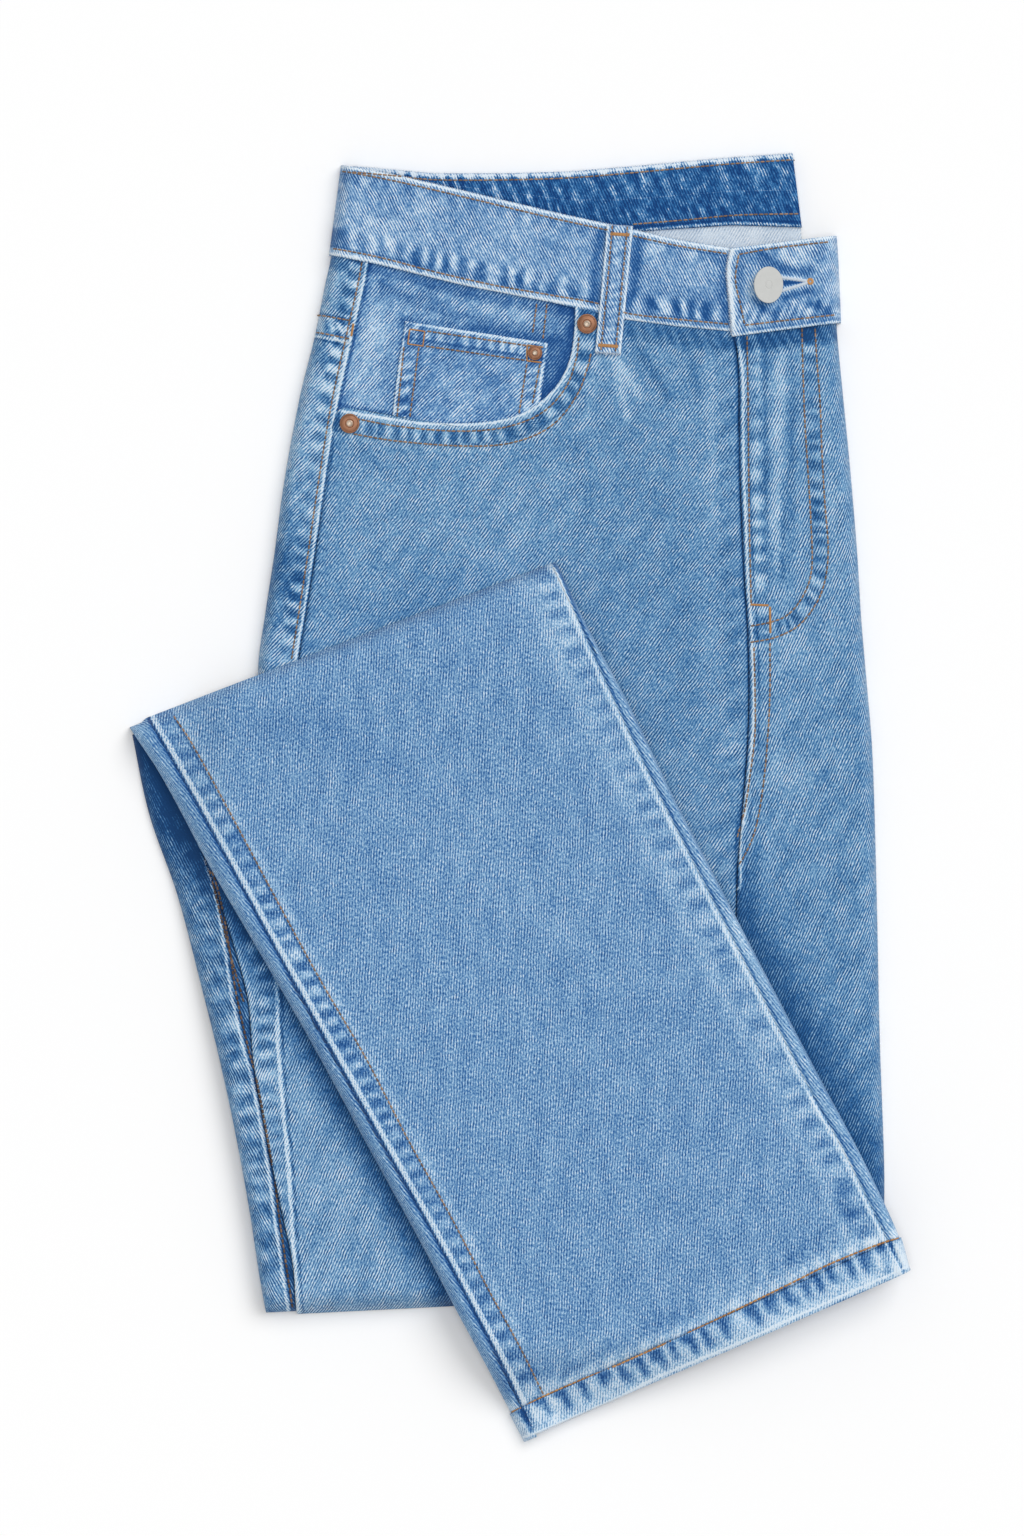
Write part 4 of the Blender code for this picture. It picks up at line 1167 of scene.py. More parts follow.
# Marks on the lapped end. The darkest line is painted shade in the buttonhole's open slit, between its pale
# bound edges.
LAP_STROKES = (
    (133.0, 240.0, 143.0, 238.0, 4.0, -0.16), (105.6, 256.0, 105.0, 228.0, 1.8, -0.26),
    (110.0, 236.0, 118.0, 231.0, 2.0, -0.22), (126.0, 235.0, 146.0, 232.0, 2.4, -0.16),
    (108.0, 258.5, 118.0, 253.0, 3.0, -0.22), (124.0, 260.0, 132.0, 251.0, 1.6, 0.34),
    (132.0, 260.0, 146.0, 250.0, 2.0, 0.20), (128.0, 236.0, 140.0, 229.5, 1.6, 0.30),
    (136.0, 259.0, 144.0, 252.0, 3.0, -0.16), (114.0, 260.0, 122.0, 252.0, 2.2, -0.26),
    (112.0, 252.0, 113.0, 238.0, 1.8, 0.16), (114.0, 233.5, 122.0, 228.0, 1.8, -0.30),
    (138.0, 235.0, 148.0, 230.0, 1.8, -0.30), (122.0, 251.5, 140.0, 249.0, 2.8, -0.46),
    (121.0, 243.6, 135.5, 244.6, 1.1, -1.2), (123.0, 246.9, 136.4, 244.9, 0.9, 0.60),
    (123.0, 239.9, 137.2, 244.3, 0.9, 0.55), (124.0, 236.6, 140.0, 241.0, 2.0, -0.42),
)
BAND_BLUES = ("184d8a", "3f75ae", "7099c3", "a9c9e5", "e4eff8")
band_denim = denim("band_denim", BAND_BLUES, -27.0, streaks=0.50, streak=(3.2, 6.5))
BAND_RISE = 1.1


def band_marks(x, y):
    """The front band: roped along its foot, more softly along its head, worn at both edges, with painted
    shadow beside the belt loop and along its foot right of the loop.
    """
    head, head_s = near(BAND_TOP, x, y)
    foot, foot_s = near(BAND_FOOT, x, y)
    rope = ropes(foot_s, foot, 121, slant=0.12, places=FOOT_PUCKERS)
    tone = (0.44 * rope - 0.04) * between(foot, 4.2, 13.0, 3.0) + 0.03 + strokes(x, y, BAND_STROKES) - 0.02
    head_rope = ropes(head_s, head, 123, slant=0.12, places=HEAD_PUCKERS)
    tone += 0.20 * head_rope * between(head, -8.0, -3.0, 3.0)
    tone += 0.09 * noise(x * 0.6, y, 9.0, 124)
    # The worn lip is pale at the left; right of the loop it is darker, painted shade under the band.
    tone += (0.16 - 0.30 * ease((x - 50.0) / 20.0)) * between(foot, 0.2, 2.8, 0.8)
    tone += 0.14 * between(-head, 0.2, 2.4, 0.8)
    relief = 0.30 * rope * between(foot, 1.0, 9.0, 3.0) + 0.5 * strokes(x, y, BAND_STROKES)
    relief += 0.25 * noise(x, y, 20.0, 125)
    relief -= 0.35 * (bell(foot, 3.3, 0.7) + bell(head, -2.9, 0.7))
    edge = nearer(head + 0.7, foot - 0.7, b_share=0.9)
    return relief, tone, edge, np.minimum(np.abs(foot - 4.4), np.abs(head + 4.0)) + 0.35


def band_end_marks(x, y):
    """The lapped end: worn at its free edge, creased round the button, with painted shade along its foot
    and in the buttonhole's slit.
    """
    free, _ = near(line_down(END_BAND, 0), x, y)
    head, head_s = near(END_BAND[0], x, y)
    foot, foot_s = near(END_BAND[3], x, y)
    rope = ropes(foot_s, foot, 131, period=5.5, slant=-0.6)
    tone = (0.24 * rope - 0.06) * between(foot, 3.6, 12.0, 3.0) + strokes(x, y, LAP_STROKES) + 0.05
    # Painted shade along the foot.
    tone += -0.20 * between(foot, 0.2, 3.0, 0.8) + 0.06 * between(-head, 0.2, 2.4, 0.8)
    tone += 0.24 * between(free, 0.0, 2.8, 1.0) + 0.14 * noise(x, y * 0.6, 9.0, 134)
    tone += 0.10 * ropes(head_s, head, 133, period=7.0) * between(head, -6.0, -1.0, 2.0)
    relief = 0.3 * rope * between(foot, 1.0, 8.5, 2.5) + 0.5 * strokes(x, y, LAP_STROKES)
    relief -= 0.35 * (bell(foot, 3.6, 0.7) + bell(head, -2.8, 0.7))
    edge = nearer(free - 1.0, nearer(head + 0.7, foot - 0.7), a_share=0.6)
    return relief, tone, edge, np.minimum(np.abs(free - 5.5), np.abs(foot - 4.8)) + 0.35


band_front = level_piece(
    "band_front", BAND, np.linspace(0.0, 1.0, 40), across_row(BAND, 0, 7, 1.1, left_roll=ROLL), BODY_SKIN,
    (-BAND_RISE, CLOTH), band_marks, band_denim,
)
band_end = level_piece(
    "band_left_end", END_BAND, down_rows(END_BAND, 0, 3, 1.0),
    across_row(END_BAND, 0, 1, 1.0, right_roll=ROLL), (GROUND, body_height, (0.0, ROLL, 0.0)),
    (-BAND_RISE - 1.4, -BAND_RISE - 0.1), band_end_marks, band_denim,
)
settle(band_front, ["waistband_front"])
settle(band_end, ["waistband_left_end"])


# Back waist, seen inside: the dark, little washed band stands above the front one, and the wrong side of
# the yoke shows below it, pale because the undyed weft yarns lie on that side of the twill.
BACK_BAND = (
    (
        (-79.0, 299.8), (-58.4, 298.0), (-39.9, 296.4), (-3.8, 296.4), (23.8, 297.3), (48.0, 299.2),
        (74.1, 301.6), (101.2, 304.0), (130.2, 305.9),
    ),
    (
        (-79.4, 296.9), (-58.4, 291.0), (-39.9, 287.0), (-3.8, 278.0), (23.8, 270.0), (48.0, 268.2),
        (74.1, 270.0), (101.2, 271.8), (134.6, 270.8),
    ),
)
YOKE_INSIDE = (
    ((41.8, 270.2), (62.2, 272.0), (83.1, 272.6), (105.0, 274.0), (133.9, 273.4)),
    ((41.8, 265.9), (62.2, 262.1), (83.1, 257.9), (105.0, 256.0), (135.2, 259.2)),
)
BACK_STROKES = (
    (118.0, 296.0, 131.0, 284.0, 4.0, 0.10), (60.0, 282.0, 84.0, 279.0, 3.0, -0.12),
    (-30.0, 294.0, -26.0, 286.0, 1.3, 0.20), (-12.0, 295.0, -9.0, 282.0, 1.4, 0.22),
    (2.0, 295.0, 4.0, 280.0, 1.2, 0.24), (12.0, 295.5, 15.0, 277.0, 1.6, 0.20),
    (29.0, 296.0, 32.0, 274.0, 1.4, 0.22), (44.0, 297.0, 47.0, 274.0, 1.2, 0.18),
    (57.0, 299.0, 60.0, 276.0, 1.8, 0.24), (70.0, 299.5, 72.0, 277.0, 1.2, 0.20),
    (81.0, 301.0, 84.0, 277.0, 1.6, 0.20), (95.0, 302.0, 97.0, 279.0, 1.4, 0.22),
    (108.0, 303.0, 110.0, 279.0, 1.7, 0.22), (121.0, 303.5, 123.0, 280.0, 1.4, 0.20),
)
BACK_PUCKERS = (
    5, 12, 19, 25, 33, 39, 45, 51, 60, 68, 76, 84, 92, 97, 107, 115, 122, 131, 141, 149, 157, 167, 181,
    196, 206,
)
WAIST_FLOOR = 3.8
BACK_RISE = 2.4
YOKE_RISE = 1.3
BACK_BLUES = ("0a3a74", "164f8a", "3270aa", "6f9fca", "dfebf6")
WRONG_SIDE_BLUES = ("7d92b0", "a3b6cc", "c6d4e2", "dae5ef", "f4f8fb")
back_denim = denim("back_denim", BACK_BLUES, -24.0, lines=0.5, streaks=0.95, streak=(3.4, 6.0))
wrong_denim = denim("wrong_side_denim", WRONG_SIDE_BLUES, 30.0, lines=0.40, slubs=0.7)


def back_band_marks(x, y):
    """The back band: worn pale along its top, with upright creases."""
    head, head_s = near(BACK_BAND[0], x, y)
    foot, foot_s = near(BACK_BAND[1], x, y)
    tone = 0.6 * strokes(x, y, BACK_STROKES) - 0.23
    top_rope = ropes(head_s, head, 145, slant=0.38, places=BACK_PUCKERS)
    tone += (0.24 * top_rope + 0.06) * between(head, -16.0, -3.4, 7.0)
    tone += (0.40 + 0.30 * top_rope) * between(head, -2.6, 0.0, 0.8)
    tone += 0.24 * ropes(foot_s, foot, 143, period=6.0) * between(foot, 3.5, 11.0, 4.0)
    relief = 0.6 * strokes(x, y, BACK_STROKES) + 0.3 * noise(x, y, 16.0, 142)
    relief -= 0.3 * (bell(foot, 4.0, 0.8) + bell(head, -3.0, 0.8))
    edge = nearer(head + 0.7, foot - 0.8, a_share=0.7)
    return relief, tone, edge, np.abs(foot - 2.4) + 0.2


def yoke_inside_marks(x, y):
    """The yoke's wrong side: plain, with shade painted a little darker against the band."""
    foot, _ = near(BACK_BAND[1], x, y)
    tone = 0.10 + 0.08 * noise(x, y * 0.4, 7.0, 145) - 0.12 * between(foot, -2.0, 2.0, 2.0)
    return 0.3 * noise(x, y, 14.0, 146), tone, FAR, FAR


back_band = level_piece(
    "back_band", BACK_BAND, np.linspace(0.0, 1.0, 28), across_row(BACK_BAND, 0, 8, 1.1),
    (even(WAIST_FLOOR), even(BACK_RISE), NO_ROLLS), (0.0, 2.2), back_band_marks, back_denim,
)
yoke_inside = level_piece(
    "yoke_wrong_side", YOKE_INSIDE, np.linspace(0.0, 1.0, 14), across_row(YOKE_INSIDE, 0, 4, 1.2),
    (even(WAIST_FLOOR), even(YOKE_RISE), NO_ROLLS), (0.0, YOKE_RISE), yoke_inside_marks, wrong_denim,
)
settle(back_band, ["waistband_back"])
settle(yoke_inside, ["yoke_inside"])


# Belt loop: a strip of the same denim folded in three and sewn lengthwise twice. It is bartacked to the
# band's top and to the panel below the band, and its cut end frays there.
LOOP = (
    ((41.6, 271.8), (54.3, 270.9)),
    ((39.2, 243.7), (51.7, 243.1)),
    ((37.1, 222.2), (49.6, 221.4)),
    ((36.0, 211.4), (48.5, 210.4)),
)
LOOP_RISE = 1.7
loop_denim = denim("loop_denim", BAND_BLUES, -27.0, streaks=0.7, streak=(2.0, 6.0))


def loop_base(x, y):
    """What the loop lies on: the band, stepping down to the panel at the band's foot."""
    return HIP_TOP + 0.35 + BAND_RISE * ease((y - 220.5) / 7.0)


def loop_marks(x, y):
    """The loop: roped down its middle, worn along both sides."""
    left, left_s = near(line_down(LOOP, 0), x, y)
    right, _ = near(line_down(LOOP, 1), x, y)
    foot, _ = near(LOOP[3], x, y)
    rope = ropes(left_s, left, 151, period=4.0, slant=0.3)
    tone = 0.05 + 0.16 * rope * between(left, 3.6, 9.4, 1.4) - 0.07 * between(left, 1.6, 3.4, 0.8)
    tone += 0.14 * between(foot, -0.5, 2.4, 1.2)
    relief = 0.25 * rope - 0.3 * (bell(left, 2.8, 0.7) + bell(right, -2.8, 0.7))
    edge = nearer(left - 0.6, right + 0.6)
    return relief, tone, edge, np.minimum(np.abs(left - 3.6), np.abs(right + 3.6)) + 0.35


loop = level_piece(
    "belt_loop_cloth", LOOP, down_rows(LOOP, 0, 3, 0.8), across_row(LOOP, 0, 1, 0.7),
    (loop_base, even(LOOP_RISE), NO_ROLLS), (0.0, 1.6), loop_marks, loop_denim,
)
settle(loop, ["belt_loop"])


# Underside: the back panels, and the plies inside the folds at the waist, the knees and the legs' ends.
# Each is a sheet of the same denim, flat where it rests, with shallow hollows where the cloth lifts off
# the ground.
HOLLOWS = (
    (-60.0, 190.0, 40.0, 150.0, 7.0, 1.0), (90.0, 120.0, 20.0, 60.0, 9.0, 0.8),
    (-80.0, 40.0, 10.0, -20.0, 10.0, 0.9), (130.0, -20.0, 60.0, -90.0, 8.0, 0.8),
    (-60.0, -120.0, 50.0, -160.0, 9.0, 0.7),
)
WAIST_PLY = 1.6  # thickness of a waist ply with its seam allowance
under_denim = denim("under_denim", ("1b4577", "3f6c9f", "6a90b7", "94b5d3", "d5e1ec"), 37.0)


def underside(name, rows, numbers, stations, base, rise=CLOTH):
    """One sheet of the underside, lifted off what it lies on in its hollows but not at its rim."""
    columns, along = stations
    x, y, z0, _, _ = skin(rows, numbers, columns, along, 0.0, base, even(CLOTH), NO_ROLLS)
    lift = 0.9 * np.maximum(0.0, strokes(x, y, HOLLOWS)) + 0.25 * (1.0 + noise(x, y, 30.0, 161))
    lift[0] = lift[-1] = 0.0
    lift[:, 0] = lift[:, -1] = 0.0
    marks = {"tone": 0.06 * noise(x, y, 26.0, 163), "edge": FAR, "groove": FAR}
    return add_cloth(name, (x, y, z0 + rise + lift), (x, y, z0 + lift), marks, under_denim)


body_under = underside(
    "body_underside", BODY, down_rows(BODY, 0.06, 13, 3.0), across_row(BODY, 0, 3, 3.0, inset=1.4), GROUND
)
waist_under = underside(
    "waist_underside", BACK_BAND, np.linspace(0.0, 1.0, 12), across_row(BACK_BAND, 0, 8, 3.0), GROUND,
    WAIST_PLY,
)
waist_ply = underside(
    "waist_ply", BACK_BAND, np.linspace(0.02, 1.0, 12), across_row(BACK_BAND, 0, 8, 3.0, inset=0.6),
    even(1.9), WAIST_PLY,
)
knees_under = underside(
    "knees_underside", KNEES, down_rows(KNEES, 0.03, 8, 3.5), across_row(KNEES, 0, 2, 3.5, inset=1.4),
    under_knees,
)
ends_under = underside(
    "ends_underside", ENDS, down_rows(ENDS, 0.03, HEM_ROW - 0.5, 3.5),
    across_row(ENDS, 0, 3, 3.5, inset=1.4), under_ends,
)
settle(body_under, ["hidden_thighs"])
settle(waist_under, ["hidden_waist"])
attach(waist_ply, "root")
settle(knees_under, ["hidden_knees"])
settle(ends_under, ["hidden_ends"])


# Button through the lapped end: a cap pressed from plated brass on a shank, tumbled to a matt silver,
# plain but for one turned ring. It hangs on the cloth by its shank, so it sits a little tilted.
def metal(name, code, roughness, scratch, shine):
    """Tumbled or washed metal: soft clouds of darker wear on a dull face."""
    made, tree, shader = new_material(name)
    place = add_node(tree, "ShaderNodeTexCoord").outputs["Object"]
    cloud = add_node(
        tree, "ShaderNodeTexNoise", {"Vector": place, "Scale": 420.0, "Detail": 4.0}
    ).outputs["Fac"]
    ramp = add_node(tree, "ShaderNodeValToRGB", {"Fac": cloud})
    base = light_colour(code)
    dulled = [c * (1.0 - scratch) for c in base]
    for element, position, colour in zip(ramp.color_ramp.elements, (0.3, 0.7), (dulled, base)):
        element.position = position
        element.color = (*colour, 1.0)
    tree.links.new(ramp.outputs["Color"], shader.inputs["Base Color"])
    bump = add_node(tree, "ShaderNodeBump", {"Height": cloud, "Strength": 0.25, "Distance": 0.0001})
    tree.links.new(bump.outputs["Normal"], shader.inputs["Normal"])
    shader.inputs["Roughness"].default_value = roughness
    shader.inputs["Metallic"].default_value = shine
    return made


def pressed(name, rings, centre, foot, paint, nodes, tilt=(0.0, 0.0), squeeze=1.0):
    """A round part pressed from one disc. Each ring is a radius and a height in mm, foot first."""
    bpy.ops.object.select_all(action="DESELECT")
    bpy.ops.mesh.primitive_circle_add(vertices=56, radius=rings[0][0] * MM, fill_type="NGON")
    made = bpy.context.object
    made.name = name
    bpy.ops.object.mode_set(mode="EDIT")
    bpy.ops.mesh.select_all(action="SELECT")
    bpy.ops.transform.translate(value=(0.0, 0.0, rings[0][1] * MM))
    radius, level = rings[0]
    for wide, high in rings[1:]:
        bpy.ops.mesh.extrude_region_move(TRANSFORM_OT_translate={"value": (0.0, 0.0, (high - level) * MM)})
        scale = wide / radius
        bpy.ops.transform.resize(value=(scale, scale, 1.0), center_override=(0.0, 0.0, 0.0))
        radius, level = wide, high
    bpy.ops.mesh.select_all(action="SELECT")
    bpy.ops.transform.resize(value=(squeeze, 1.0, 1.0), center_override=(0.0, 0.0, 0.0))
    for angle, axis in zip(tilt, "XY"):
        bpy.ops.transform.rotate(value=angle, orient_axis=axis, center_override=(0.0, 0.0, 0.0))
    bpy.ops.transform.translate(value=(centre[0] * MM, centre[1] * MM, foot * MM))
    bpy.ops.mesh.normals_make_consistent(inside=False)
    bpy.ops.object.mode_set(mode="OBJECT")
    bpy.ops.object.shade_smooth_by_angle(angle=math.radians(40.0))
    made.data.name = name
    made.data.materials.append(paint)
    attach(made, "root")
    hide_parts(*nodes)


BUTTON_AT = (117.8, 243.2)
BUTTON_LIFT = 2.6  # of the cap's foot above the band
BUTTON_TILT = (-0.06, -0.30)
BUTTON_NARROWED = 0.84  # seen on its tilt
BUTTON_RINGS = (
    (4.6, 0.0), (4.6, 0.9), (8.0, 1.1), (8.6, 1.5), (8.7, 2.1), (8.6, 2.4), (8.4, 2.5), (8.3, 2.5),
    (2.3, 2.5), (2.2, 2.5), (2.05, 2.38), (1.75, 2.38), (1.6, 2.5), (1.5, 2.5), (0.3, 2.5),
)
silver = metal("matt_silver", "cbccca", 0.7, 0.05, 0.2)
pressed(
    "button_cap", BUTTON_RINGS, BUTTON_AT, HIP_TOP + BAND_RISE + BUTTON_LIFT, silver, ["button"],
    BUTTON_TILT, BUTTON_NARROWED,
)


# Rivets at the pocket's corners: copper caps dulled by the wash, hammered over a post whose nickel end is
# peened through the middle. Rings are in shares of the cap's radius, and heights in mm.
RIVETS = (
    # node, middle, radius and height above the front
    ("rivet_outer", (-80.4, 177.4), 4.7, 1.5),
    ("rivet_opening", (32.3, 224.7), 4.7, 1.5),
    ("rivet_coin", (7.6, 210.9), 3.5, 0.6),
)
CAP_RINGS = (
    (0.94, 0.0), (1.0, 0.25), (1.0, 0.6), (0.95, 0.85), (0.88, 0.9), (0.82, 0.6), (0.76, 0.75),
    (0.46, 0.85), (0.40, 0.4), (0.20, 0.4),
)
POST_RINGS = ((0.32, 0.5), (0.32, 1.1), (0.24, 1.3), (0.15, 1.2), (0.13, 0.9), (0.03, 0.9))
copper = metal("copper", "a8775a", 0.5, 0.35, 0.55)
nickel = metal("nickel", "cdbba8", 0.45, 0.3, 0.6)
for label, centre, radius, lift in RIVETS:
    cap_rings = [(radius * wide, high) for wide, high in CAP_RINGS]
    post_rings = [(radius * wide, high) for wide, high in POST_RINGS]
    pressed(label + "_cap", cap_rings, centre, HIP_TOP + lift, copper, [label])
    pressed(label + "_post", post_rings, centre, HIP_TOP + lift, nickel, [])


# Sewing: thick cotton-wrapped polyester thread, brown on the panels and orange on the hem and bartacks,
# faded unevenly by the wash. Each stitch lies on the cloth under it, found by looking down on it.
cloths = [
    leg_front, leg_outer, leg_inner, hem, knee_right, knee_left, front_right, front_left, back_right,
    yoke, facing, coin, band_front, band_end, back_band, yoke_inside, loop,
]
ground_points = []
ground_faces = []
owners = []
for piece in cloths:
    owners += [piece.name] * len(piece.data.polygons)
    first = len(ground_points)
    ground_points += [v.co.copy() for v in piece.data.vertices]
    ground_faces += [tuple(first + k for k in face.vertices) for face in piece.data.polygons]
ground = BVHTree.FromPolygons(ground_points, ground_faces)


def seen_at(x, y):
    """Height in mm and name of the cloth seen from above at this place."""
    hit, _, face, _ = ground.ray_cast(Vector((x * MM, y * MM, 0.2)), Vector((0.0, 0.0, -1.0)))
    return (hit.z / MM, owners[face]) if hit else (0.0, "")


def beside(path, distance):
    """A path at this distance in mm to the left of another."""
    line = smooth_path(path)
    way = np.gradient(line, axis=0)
    way = way / np.linalg.norm(way, axis=1, keepdims=True)
    return line + distance * np.column_stack([-way[:, 1], way[:, 0]])


def spaced(path, pitch, seed):
    """Places and directions along a path, each a little off its mark."""
    line = smooth_path(path, 1.0)
    far = np.concatenate([[0.0], np.cumsum(np.linalg.norm(np.diff(line, axis=0), axis=1))])
    dice = np.random.RandomState(seed)
    s = np.arange(pitch * 0.5, far[-1], pitch)
    s = s + dice.uniform(-0.06, 0.06, len(s)) * pitch
    x, y = np.interp(s, far, line[:, 0]), np.interp(s, far, line[:, 1])
    ahead = np.interp(s + 0.5, far, line[:, 0]) - np.interp(s - 0.5, far, line[:, 0])
    up = np.interp(s + 0.5, far, line[:, 1]) - np.interp(s - 0.5, far, line[:, 1])
    return x, y, np.arctan2(up, ahead) + dice.uniform(-0.05, 0.05, len(s))


def yarn_piece(name, points, faces, tones, paint):
    """A piece of many small yarn shapes, with a tone at each point."""
    mesh = bpy.data.meshes.new(name)
    mesh.from_pydata(points, [], faces)
    layer = mesh.attributes.new("tone", "FLOAT", "POINT")
    layer.data.foreach_set("value", np.asarray(tones, np.float32))
    mesh.materials.append(paint)
    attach(put_in_scene(name, mesh), "root")
    return mesh


STITCH_RINGS = ((-0.5, 0.45, -0.30), (-0.30, 1.0, 0.06), (0.30, 1.0, 0.06), (0.5, 0.45, -0.30))


def thread_mesh(name, stitches, paint):
    """Stitches joined in one mesh, each x, y, heading, length, width, tone. Its ends dip into the cloth."""
    points = []
    faces = []
    tones = []
    turn = np.radians(np.arange(6) * 60.0)
    for x, y, heading, length, width, tone in stitches:
        ax, ay = math.cos(heading), math.sin(heading)
        first = len(points)
        for t, thick, arch in STITCH_RINGS:
            cx, cy = x + ax * t * length, y + ay * t * length
            z = seen_at(cx, cy)[0] + arch * width + 0.12
            for a in turn:
                side, high = math.cos(a) * width * 0.5 * thick, math.sin(a) * width * 0.42 * thick
                points.append(((cx - ay * side) * MM, (cy + ax * side) * MM, (z + high) * MM))
        for ring in range(3):
            for k in range(6):
                a, b = first + ring * 6 + k, first + ring * 6 + (k + 1) % 6
                faces.append((a, b, b + 6, a + 6))
        faces.append(tuple(first + k for k in range(5, -1, -1)))
        faces.append(tuple(first + 18 + k for k in range(6)))
        tones += [tone] * 24
    mesh = yarn_piece(name, points, faces, tones, paint)
    mesh.polygons.foreach_set("use_smooth", np.ones(len(faces), bool))


def thread(name, dark, light):
    """Twisted sewing thread: matt, with the fleck of its plies between a dark and a light colour."""
    made, tree, shader = new_material(name)
    place = add_node(tree, "ShaderNodeTexCoord").outputs["Object"]
    ply = add_node(
        tree, "ShaderNodeTexNoise", {"Vector": place, "Scale": 2600.0, "Detail": 2.0}
    ).outputs["Fac"]
    tone = add_node(tree, "ShaderNodeAttribute", attribute_name="tone").outputs["Fac"]
    mixed = add_node(tree, "ShaderNodeMath", {0: ply, 1: 0.5, 2: tone}, operation="MULTIPLY_ADD").outputs[0]
    ramp = add_node(tree, "ShaderNodeValToRGB", {"Fac": mixed})
    for element, position, code in zip(ramp.color_ramp.elements, (0.1, 1.0), (dark, light)):
        element.position = position
        element.color = (*light_colour(code), 1.0)
    tree.links.new(ramp.outputs["Color"], shader.inputs["Base Color"])
    bump = add_node(tree, "ShaderNodeBump", {"Height": ply, "Strength": 0.4, "Distance": 0.0001})
    tree.links.new(bump.outputs["Normal"], shader.inputs["Normal"])
    shader.inputs["Roughness"].default_value = 0.75
    shader.inputs["Specular IOR Level"].default_value = 0.25
    return made


def row_of(path, seed, pitch=2.4, length=2.15, width=0.82, tone=0.30):
    """A row of stitches, left out where the belt loop, or on the knees another piece, covers it."""
    dice = np.random.RandomState(seed + 900)
    x, y, heading = spaced(path, pitch, seed)
    own = seen_at(x[len(x) // 2], y[len(x) // 2])[1][:4]
    stitches = []
    for a, b, c in zip(x, y, heading):
        under = seen_at(a, b)[1][:4]
        if under == own or own != "knee" and under != "belt":
            stitches.append((a, b, c, length, width, tone + 0.25 * dice.uniform(-1.0, 1.0)))
    return stitches


def bartack(start, end, width, seed):
    """Close stitches laid side by side across a short line."""
    x, y, heading = spaced((start, end), 0.5, seed)
    return [(a, b, c + 1.42, width * 0.72, 0.62, 0.40) for a, b, c in zip(x, y, heading)]


END_TOPSTITCH = (
    (-164.0, 38.6), (-155.8, 26.6), (-136.3, -8.5), (-116.8, -45.1), (-94.0, -86.9), (-72.2, -124.4),
    (-52.7, -162.0), (-30.4, -202.3), (-13.8, -234.6), (0.0, -259.8), (11.2, -282.8),
)
EDGE_STITCH = ((108.3, 219.0), (108.8, 188.6), (109.2, 141.1), (110.2, 93.0))
RISE_1 = ((111.6, 71.2), (112.1, 50.8), (112.1, 30.4), (109.7, 9.5), (107.3, -5.7), (104.0, -18.1))
RISE_2 = (
    (119.2, 73.6), (119.2, 50.8), (118.3, 30.4), (115.9, 4.3), (112.1, -16.1), (107.3, -27.5),
    (104.0, -32.8),
)
OPEN_STITCH_1 = (
    (28.5, 218.5), (27.1, 207.6), (21.8, 193.8), (10.0, 181.9), (-8.1, 175.3), (-30.9, 173.8),
    (-58.4, 176.2), (-76.5, 179.5),
)
OPEN_STITCH_2 = (
    (34.2, 210.9), (32.8, 204.7), (27.1, 190.0), (14.7, 175.8), (-3.8, 168.2), (-25.6, 166.7),
    (-58.4, 169.1), (-78.4, 172.4),
)
BROWN_PATHS = (
    # the leg's felled seam and the outseam
    END_TOPSTITCH,
    beside(OUTSEAM[:8], -3.6)[:-2],
    # the yoke's felled seam
    ((-96.2, 229.2), (-78.6, 226.0)),
    ((-97.0, 221.0), (-80.5, 217.6)),
    # the pocket's opening, both edges of the band, the fly and the seam below it
    OPEN_STITCH_1,
    OPEN_STITCH_2,
    beside(BAND_TOP, -2.9),
    beside(BAND_FOOT[:9], 3.3),
    EDGE_STITCH,
    J_OUTER,
    J_INNER,
    RISE_1,
    RISE_2,
    # round the band's lapped end
    ((104.3, 257.6), (121.1, 260.6), (148.0, 263.7)),
    ((104.3, 257.6), (102.8, 245.6), (105.6, 231.8), (107.2, 224.0)),
    ((107.2, 224.0), (129.0, 226.6), (150.4, 229.0)),
    # the back band, seen inside
    beside(BACK_BAND[0], -3.0),
    ((54.0, 272.2), (80.0, 274.4), (104.0, 276.6), (132.6, 277.2)),
    # the coin pocket's left side, right side and hem, two rows each
    ((-54.6, 213.8), (-57.9, 180.5)),
    ((-47.5, 213.8), (-51.8, 180.5)),
    ((3.8, 205.7), (0.0, 181.9)),
    ((10.0, 205.7), (6.2, 185.8)),
    ((-43.7, 221.3), (5.2, 214.2)),
    ((-44.6, 214.2), (3.0, 207.4)),
    # the facing above it
    ((8.5, 234.6), (6.4, 219.5)),
    ((13.3, 234.2), (11.4, 217.5)),
    # the belt loop
    beside(line_down(LOOP, 0), 2.8),
    beside(line_down(LOOP, 1), -2.8),
)
KNEE_PATHS = (beside(KNEE_RIDGE[1:], 1.9), ((-146.8, -34.7), (-138.7, -68.0), (-130.5, -98.0)))
BARTACKS = (
    # from, to, width of the tack in mm, seed
    ((43.4, 267.4), (52.6, 266.8), 2.4, 3), ((37.6, 214.6), (47.2, 213.9), 2.4, 4),
    ((110.0, 91.4), (118.6, 91.0), 1.6, 5), ((119.2, 90.4), (119.4, 77.8), 1.6, 6),
    ((-51.9, 222.2), (-44.8, 221.2), 1.0, 7), ((-52.8, 215.2), (-45.6, 214.2), 1.0, 8),
    ((-51.9, 222.0), (-52.8, 215.2), 1.0, 9), ((-44.7, 221.2), (-45.6, 214.4), 1.0, 10),
    ((-78.6, 224.8), (-79.6, 219.0), 1.6, 12), ((4.0, 214.6), (11.4, 213.6), 1.2, 13),
    ((3.8, 207.2), (10.8, 206.4), 1.2, 14), ((3.9, 214.4), (3.7, 207.4), 1.2, 15),
)
brown_rows = []
for number, path in enumerate(BROWN_PATHS):
    brown_rows += row_of(path, seed=number + 1)
for number, path in enumerate(KNEE_PATHS):
    brown_rows += row_of(path, seed=number + 41, tone=0.0, width=1.0)
brown_thread = thread("brown_thread", "54443a", "b8977c")
thread_mesh("topstitching", brown_rows, brown_thread)

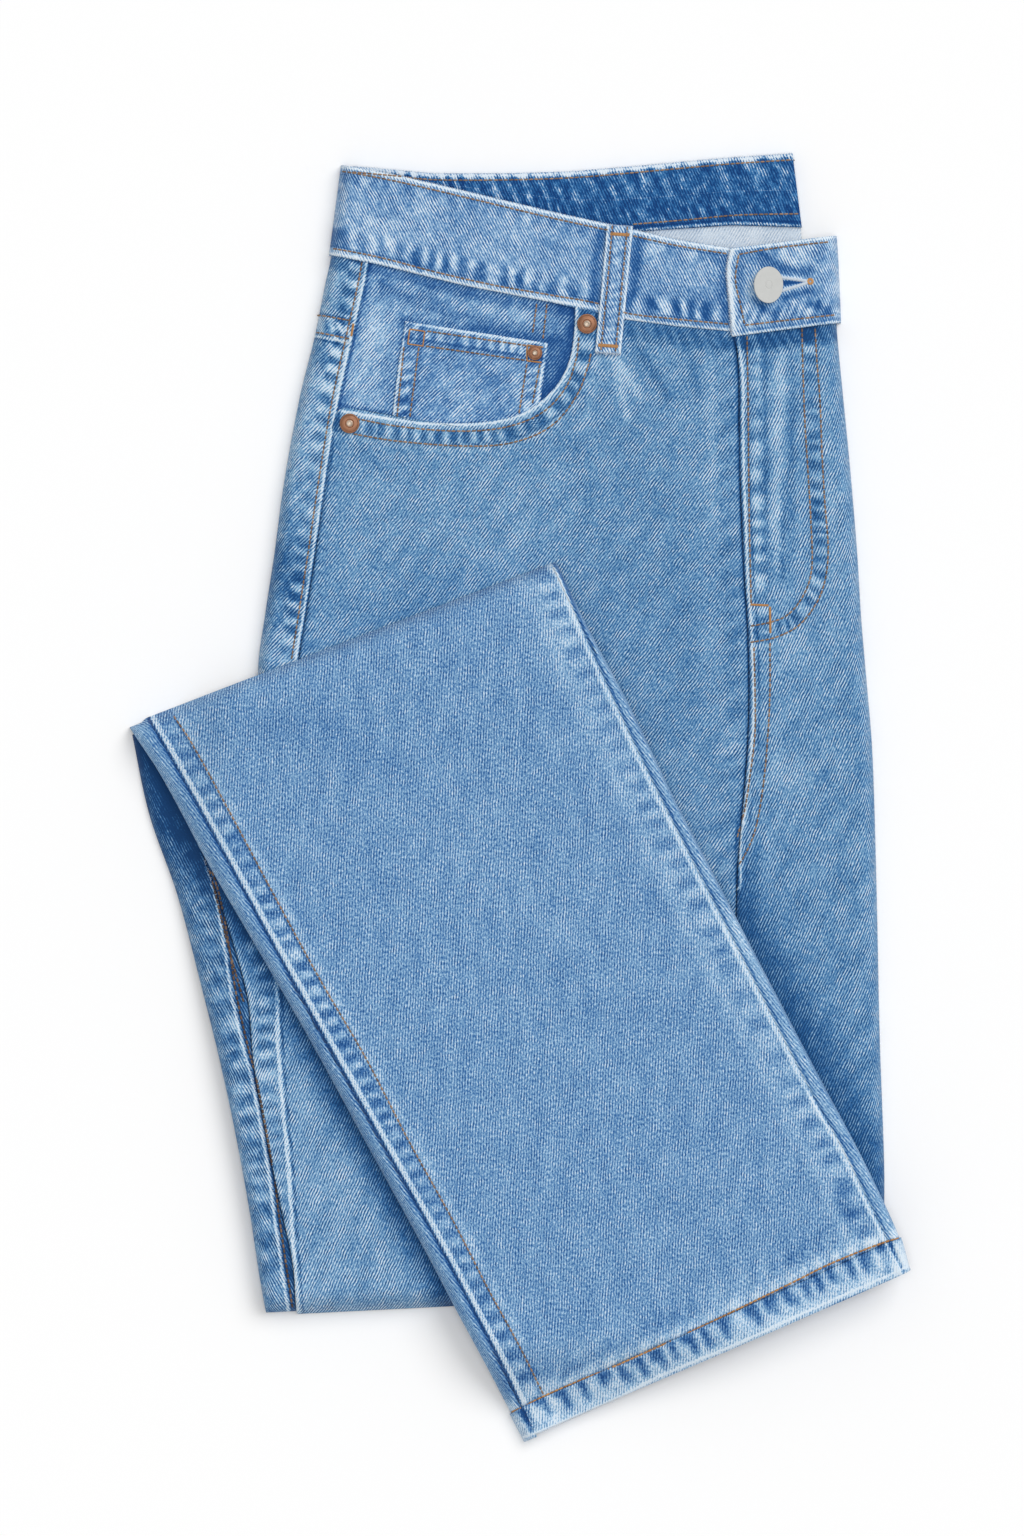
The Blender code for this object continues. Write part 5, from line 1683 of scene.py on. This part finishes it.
orange_rows = row_of(HEM_STITCH, seed=61, pitch=2.3, length=2.25, width=0.95, tone=0.35)
for start, end, wide, seed in BARTACKS:
    orange_rows += bartack(start, end, wide, seed)
orange_thread = thread("orange_thread", "8f5f33", "d3a06a")
thread_mesh("hem_stitch_and_bartacks", orange_rows, orange_thread)


# Buttonhole to the right of the button: a slit bound with close stitches of pale thread, opened by the
# shank, with an orange eye at its far end. A machine sews it through both plies of the lapped end.
HOLE_SIDES = (((124.6, 246.7), (136.6, 245.0)), ((124.6, 240.3), (137.2, 244.2)))
EYE_AT = (138.3, 244.8)
EYE_RADIUS = 1.1
hole_rows = []
for side in HOLE_SIDES:
    for x, y, heading in zip(*spaced(side, 0.62, 17)):
        hole_rows.append((x, y, heading + 1.25, 1.7, 0.62, 0.45))
eye_rows = [
    (EYE_AT[0] + EYE_RADIUS * math.cos(a), EYE_AT[1] + EYE_RADIUS * math.sin(a), a, 1.3, 0.6, 0.6)
    for a in np.arange(0.0, 6.2, 0.45)
]
thread_mesh("buttonhole_eye", eye_rows, orange_thread)
pale_thread = thread("pale_thread", "9db6cf", "e8eff6")
thread_mesh("buttonhole", hole_rows, pale_thread)


# Frayed edges: short ends of the undyed weft yarn stand out along the worn edges of the bands, the loop,
# the hem and the knee's felled seam. They are drawn 0.2 mm thick, coarser than cotton, so that they show.
def fray(name, paths, paint):
    """Yarn ends along each path, which comes with its outward side, its pitch and its longest end in mm."""
    points = []
    faces = []
    for seed, (path, outward, pitch, long) in enumerate(paths):
        dice = np.random.RandomState(300 + seed)
        for x, y, heading in zip(*spaced(path, pitch, 70 + seed)):
            lean = heading + math.pi / 2 * outward + dice.uniform(-0.9, 0.9)
            reach = long * dice.uniform(0.35, 1.0)
            tip = (x + math.cos(lean) * reach, y + math.sin(lean) * reach)
            inside = (x - math.cos(lean) * 0.5, y - math.sin(lean) * 0.5)
            z = seen_at(*inside)[0] - 0.1
            wx, wy = -math.sin(lean) * 0.11, math.cos(lean) * 0.11
            first = len(points)
            for (px, py), pz in ((inside, z), (tip, z + dice.uniform(-0.5, 0.3))):
                points += [
                    ((px + wx) * MM, (py + wy) * MM, pz * MM), ((px - wx) * MM, (py - wy) * MM, pz * MM),
                    (px * MM, py * MM, (pz + 0.2) * MM),
                ]
            for a, b in ((0, 1), (1, 2), (2, 0)):
                faces.append((first + a, first + a + 3, first + b + 3, first + b))
            faces.append((first, first + 1, first + 2))
            faces.append((first + 5, first + 4, first + 3))
    yarn_piece(name, points, faces, np.full(len(points), 0.5), paint)


FRAYED_PATHS = (
    (BACK_BAND[0], 1.0, 0.55, 0.7), (BAND_TOP, 1.0, 0.8, 0.45), (line_down(END_BAND, 0), -1.0, 0.4, 0.8),
    (LOOP[3], -1.0, 0.35, 1.2), (LOOP[0], 1.0, 0.6, 0.4), (HEM_EDGE, -1.0, 0.9, 0.5),
    (KNEE_RIDGE[2:], 1.0, 0.6, 0.9),
)
fray("frayed_edges", FRAYED_PATHS, pale_thread)
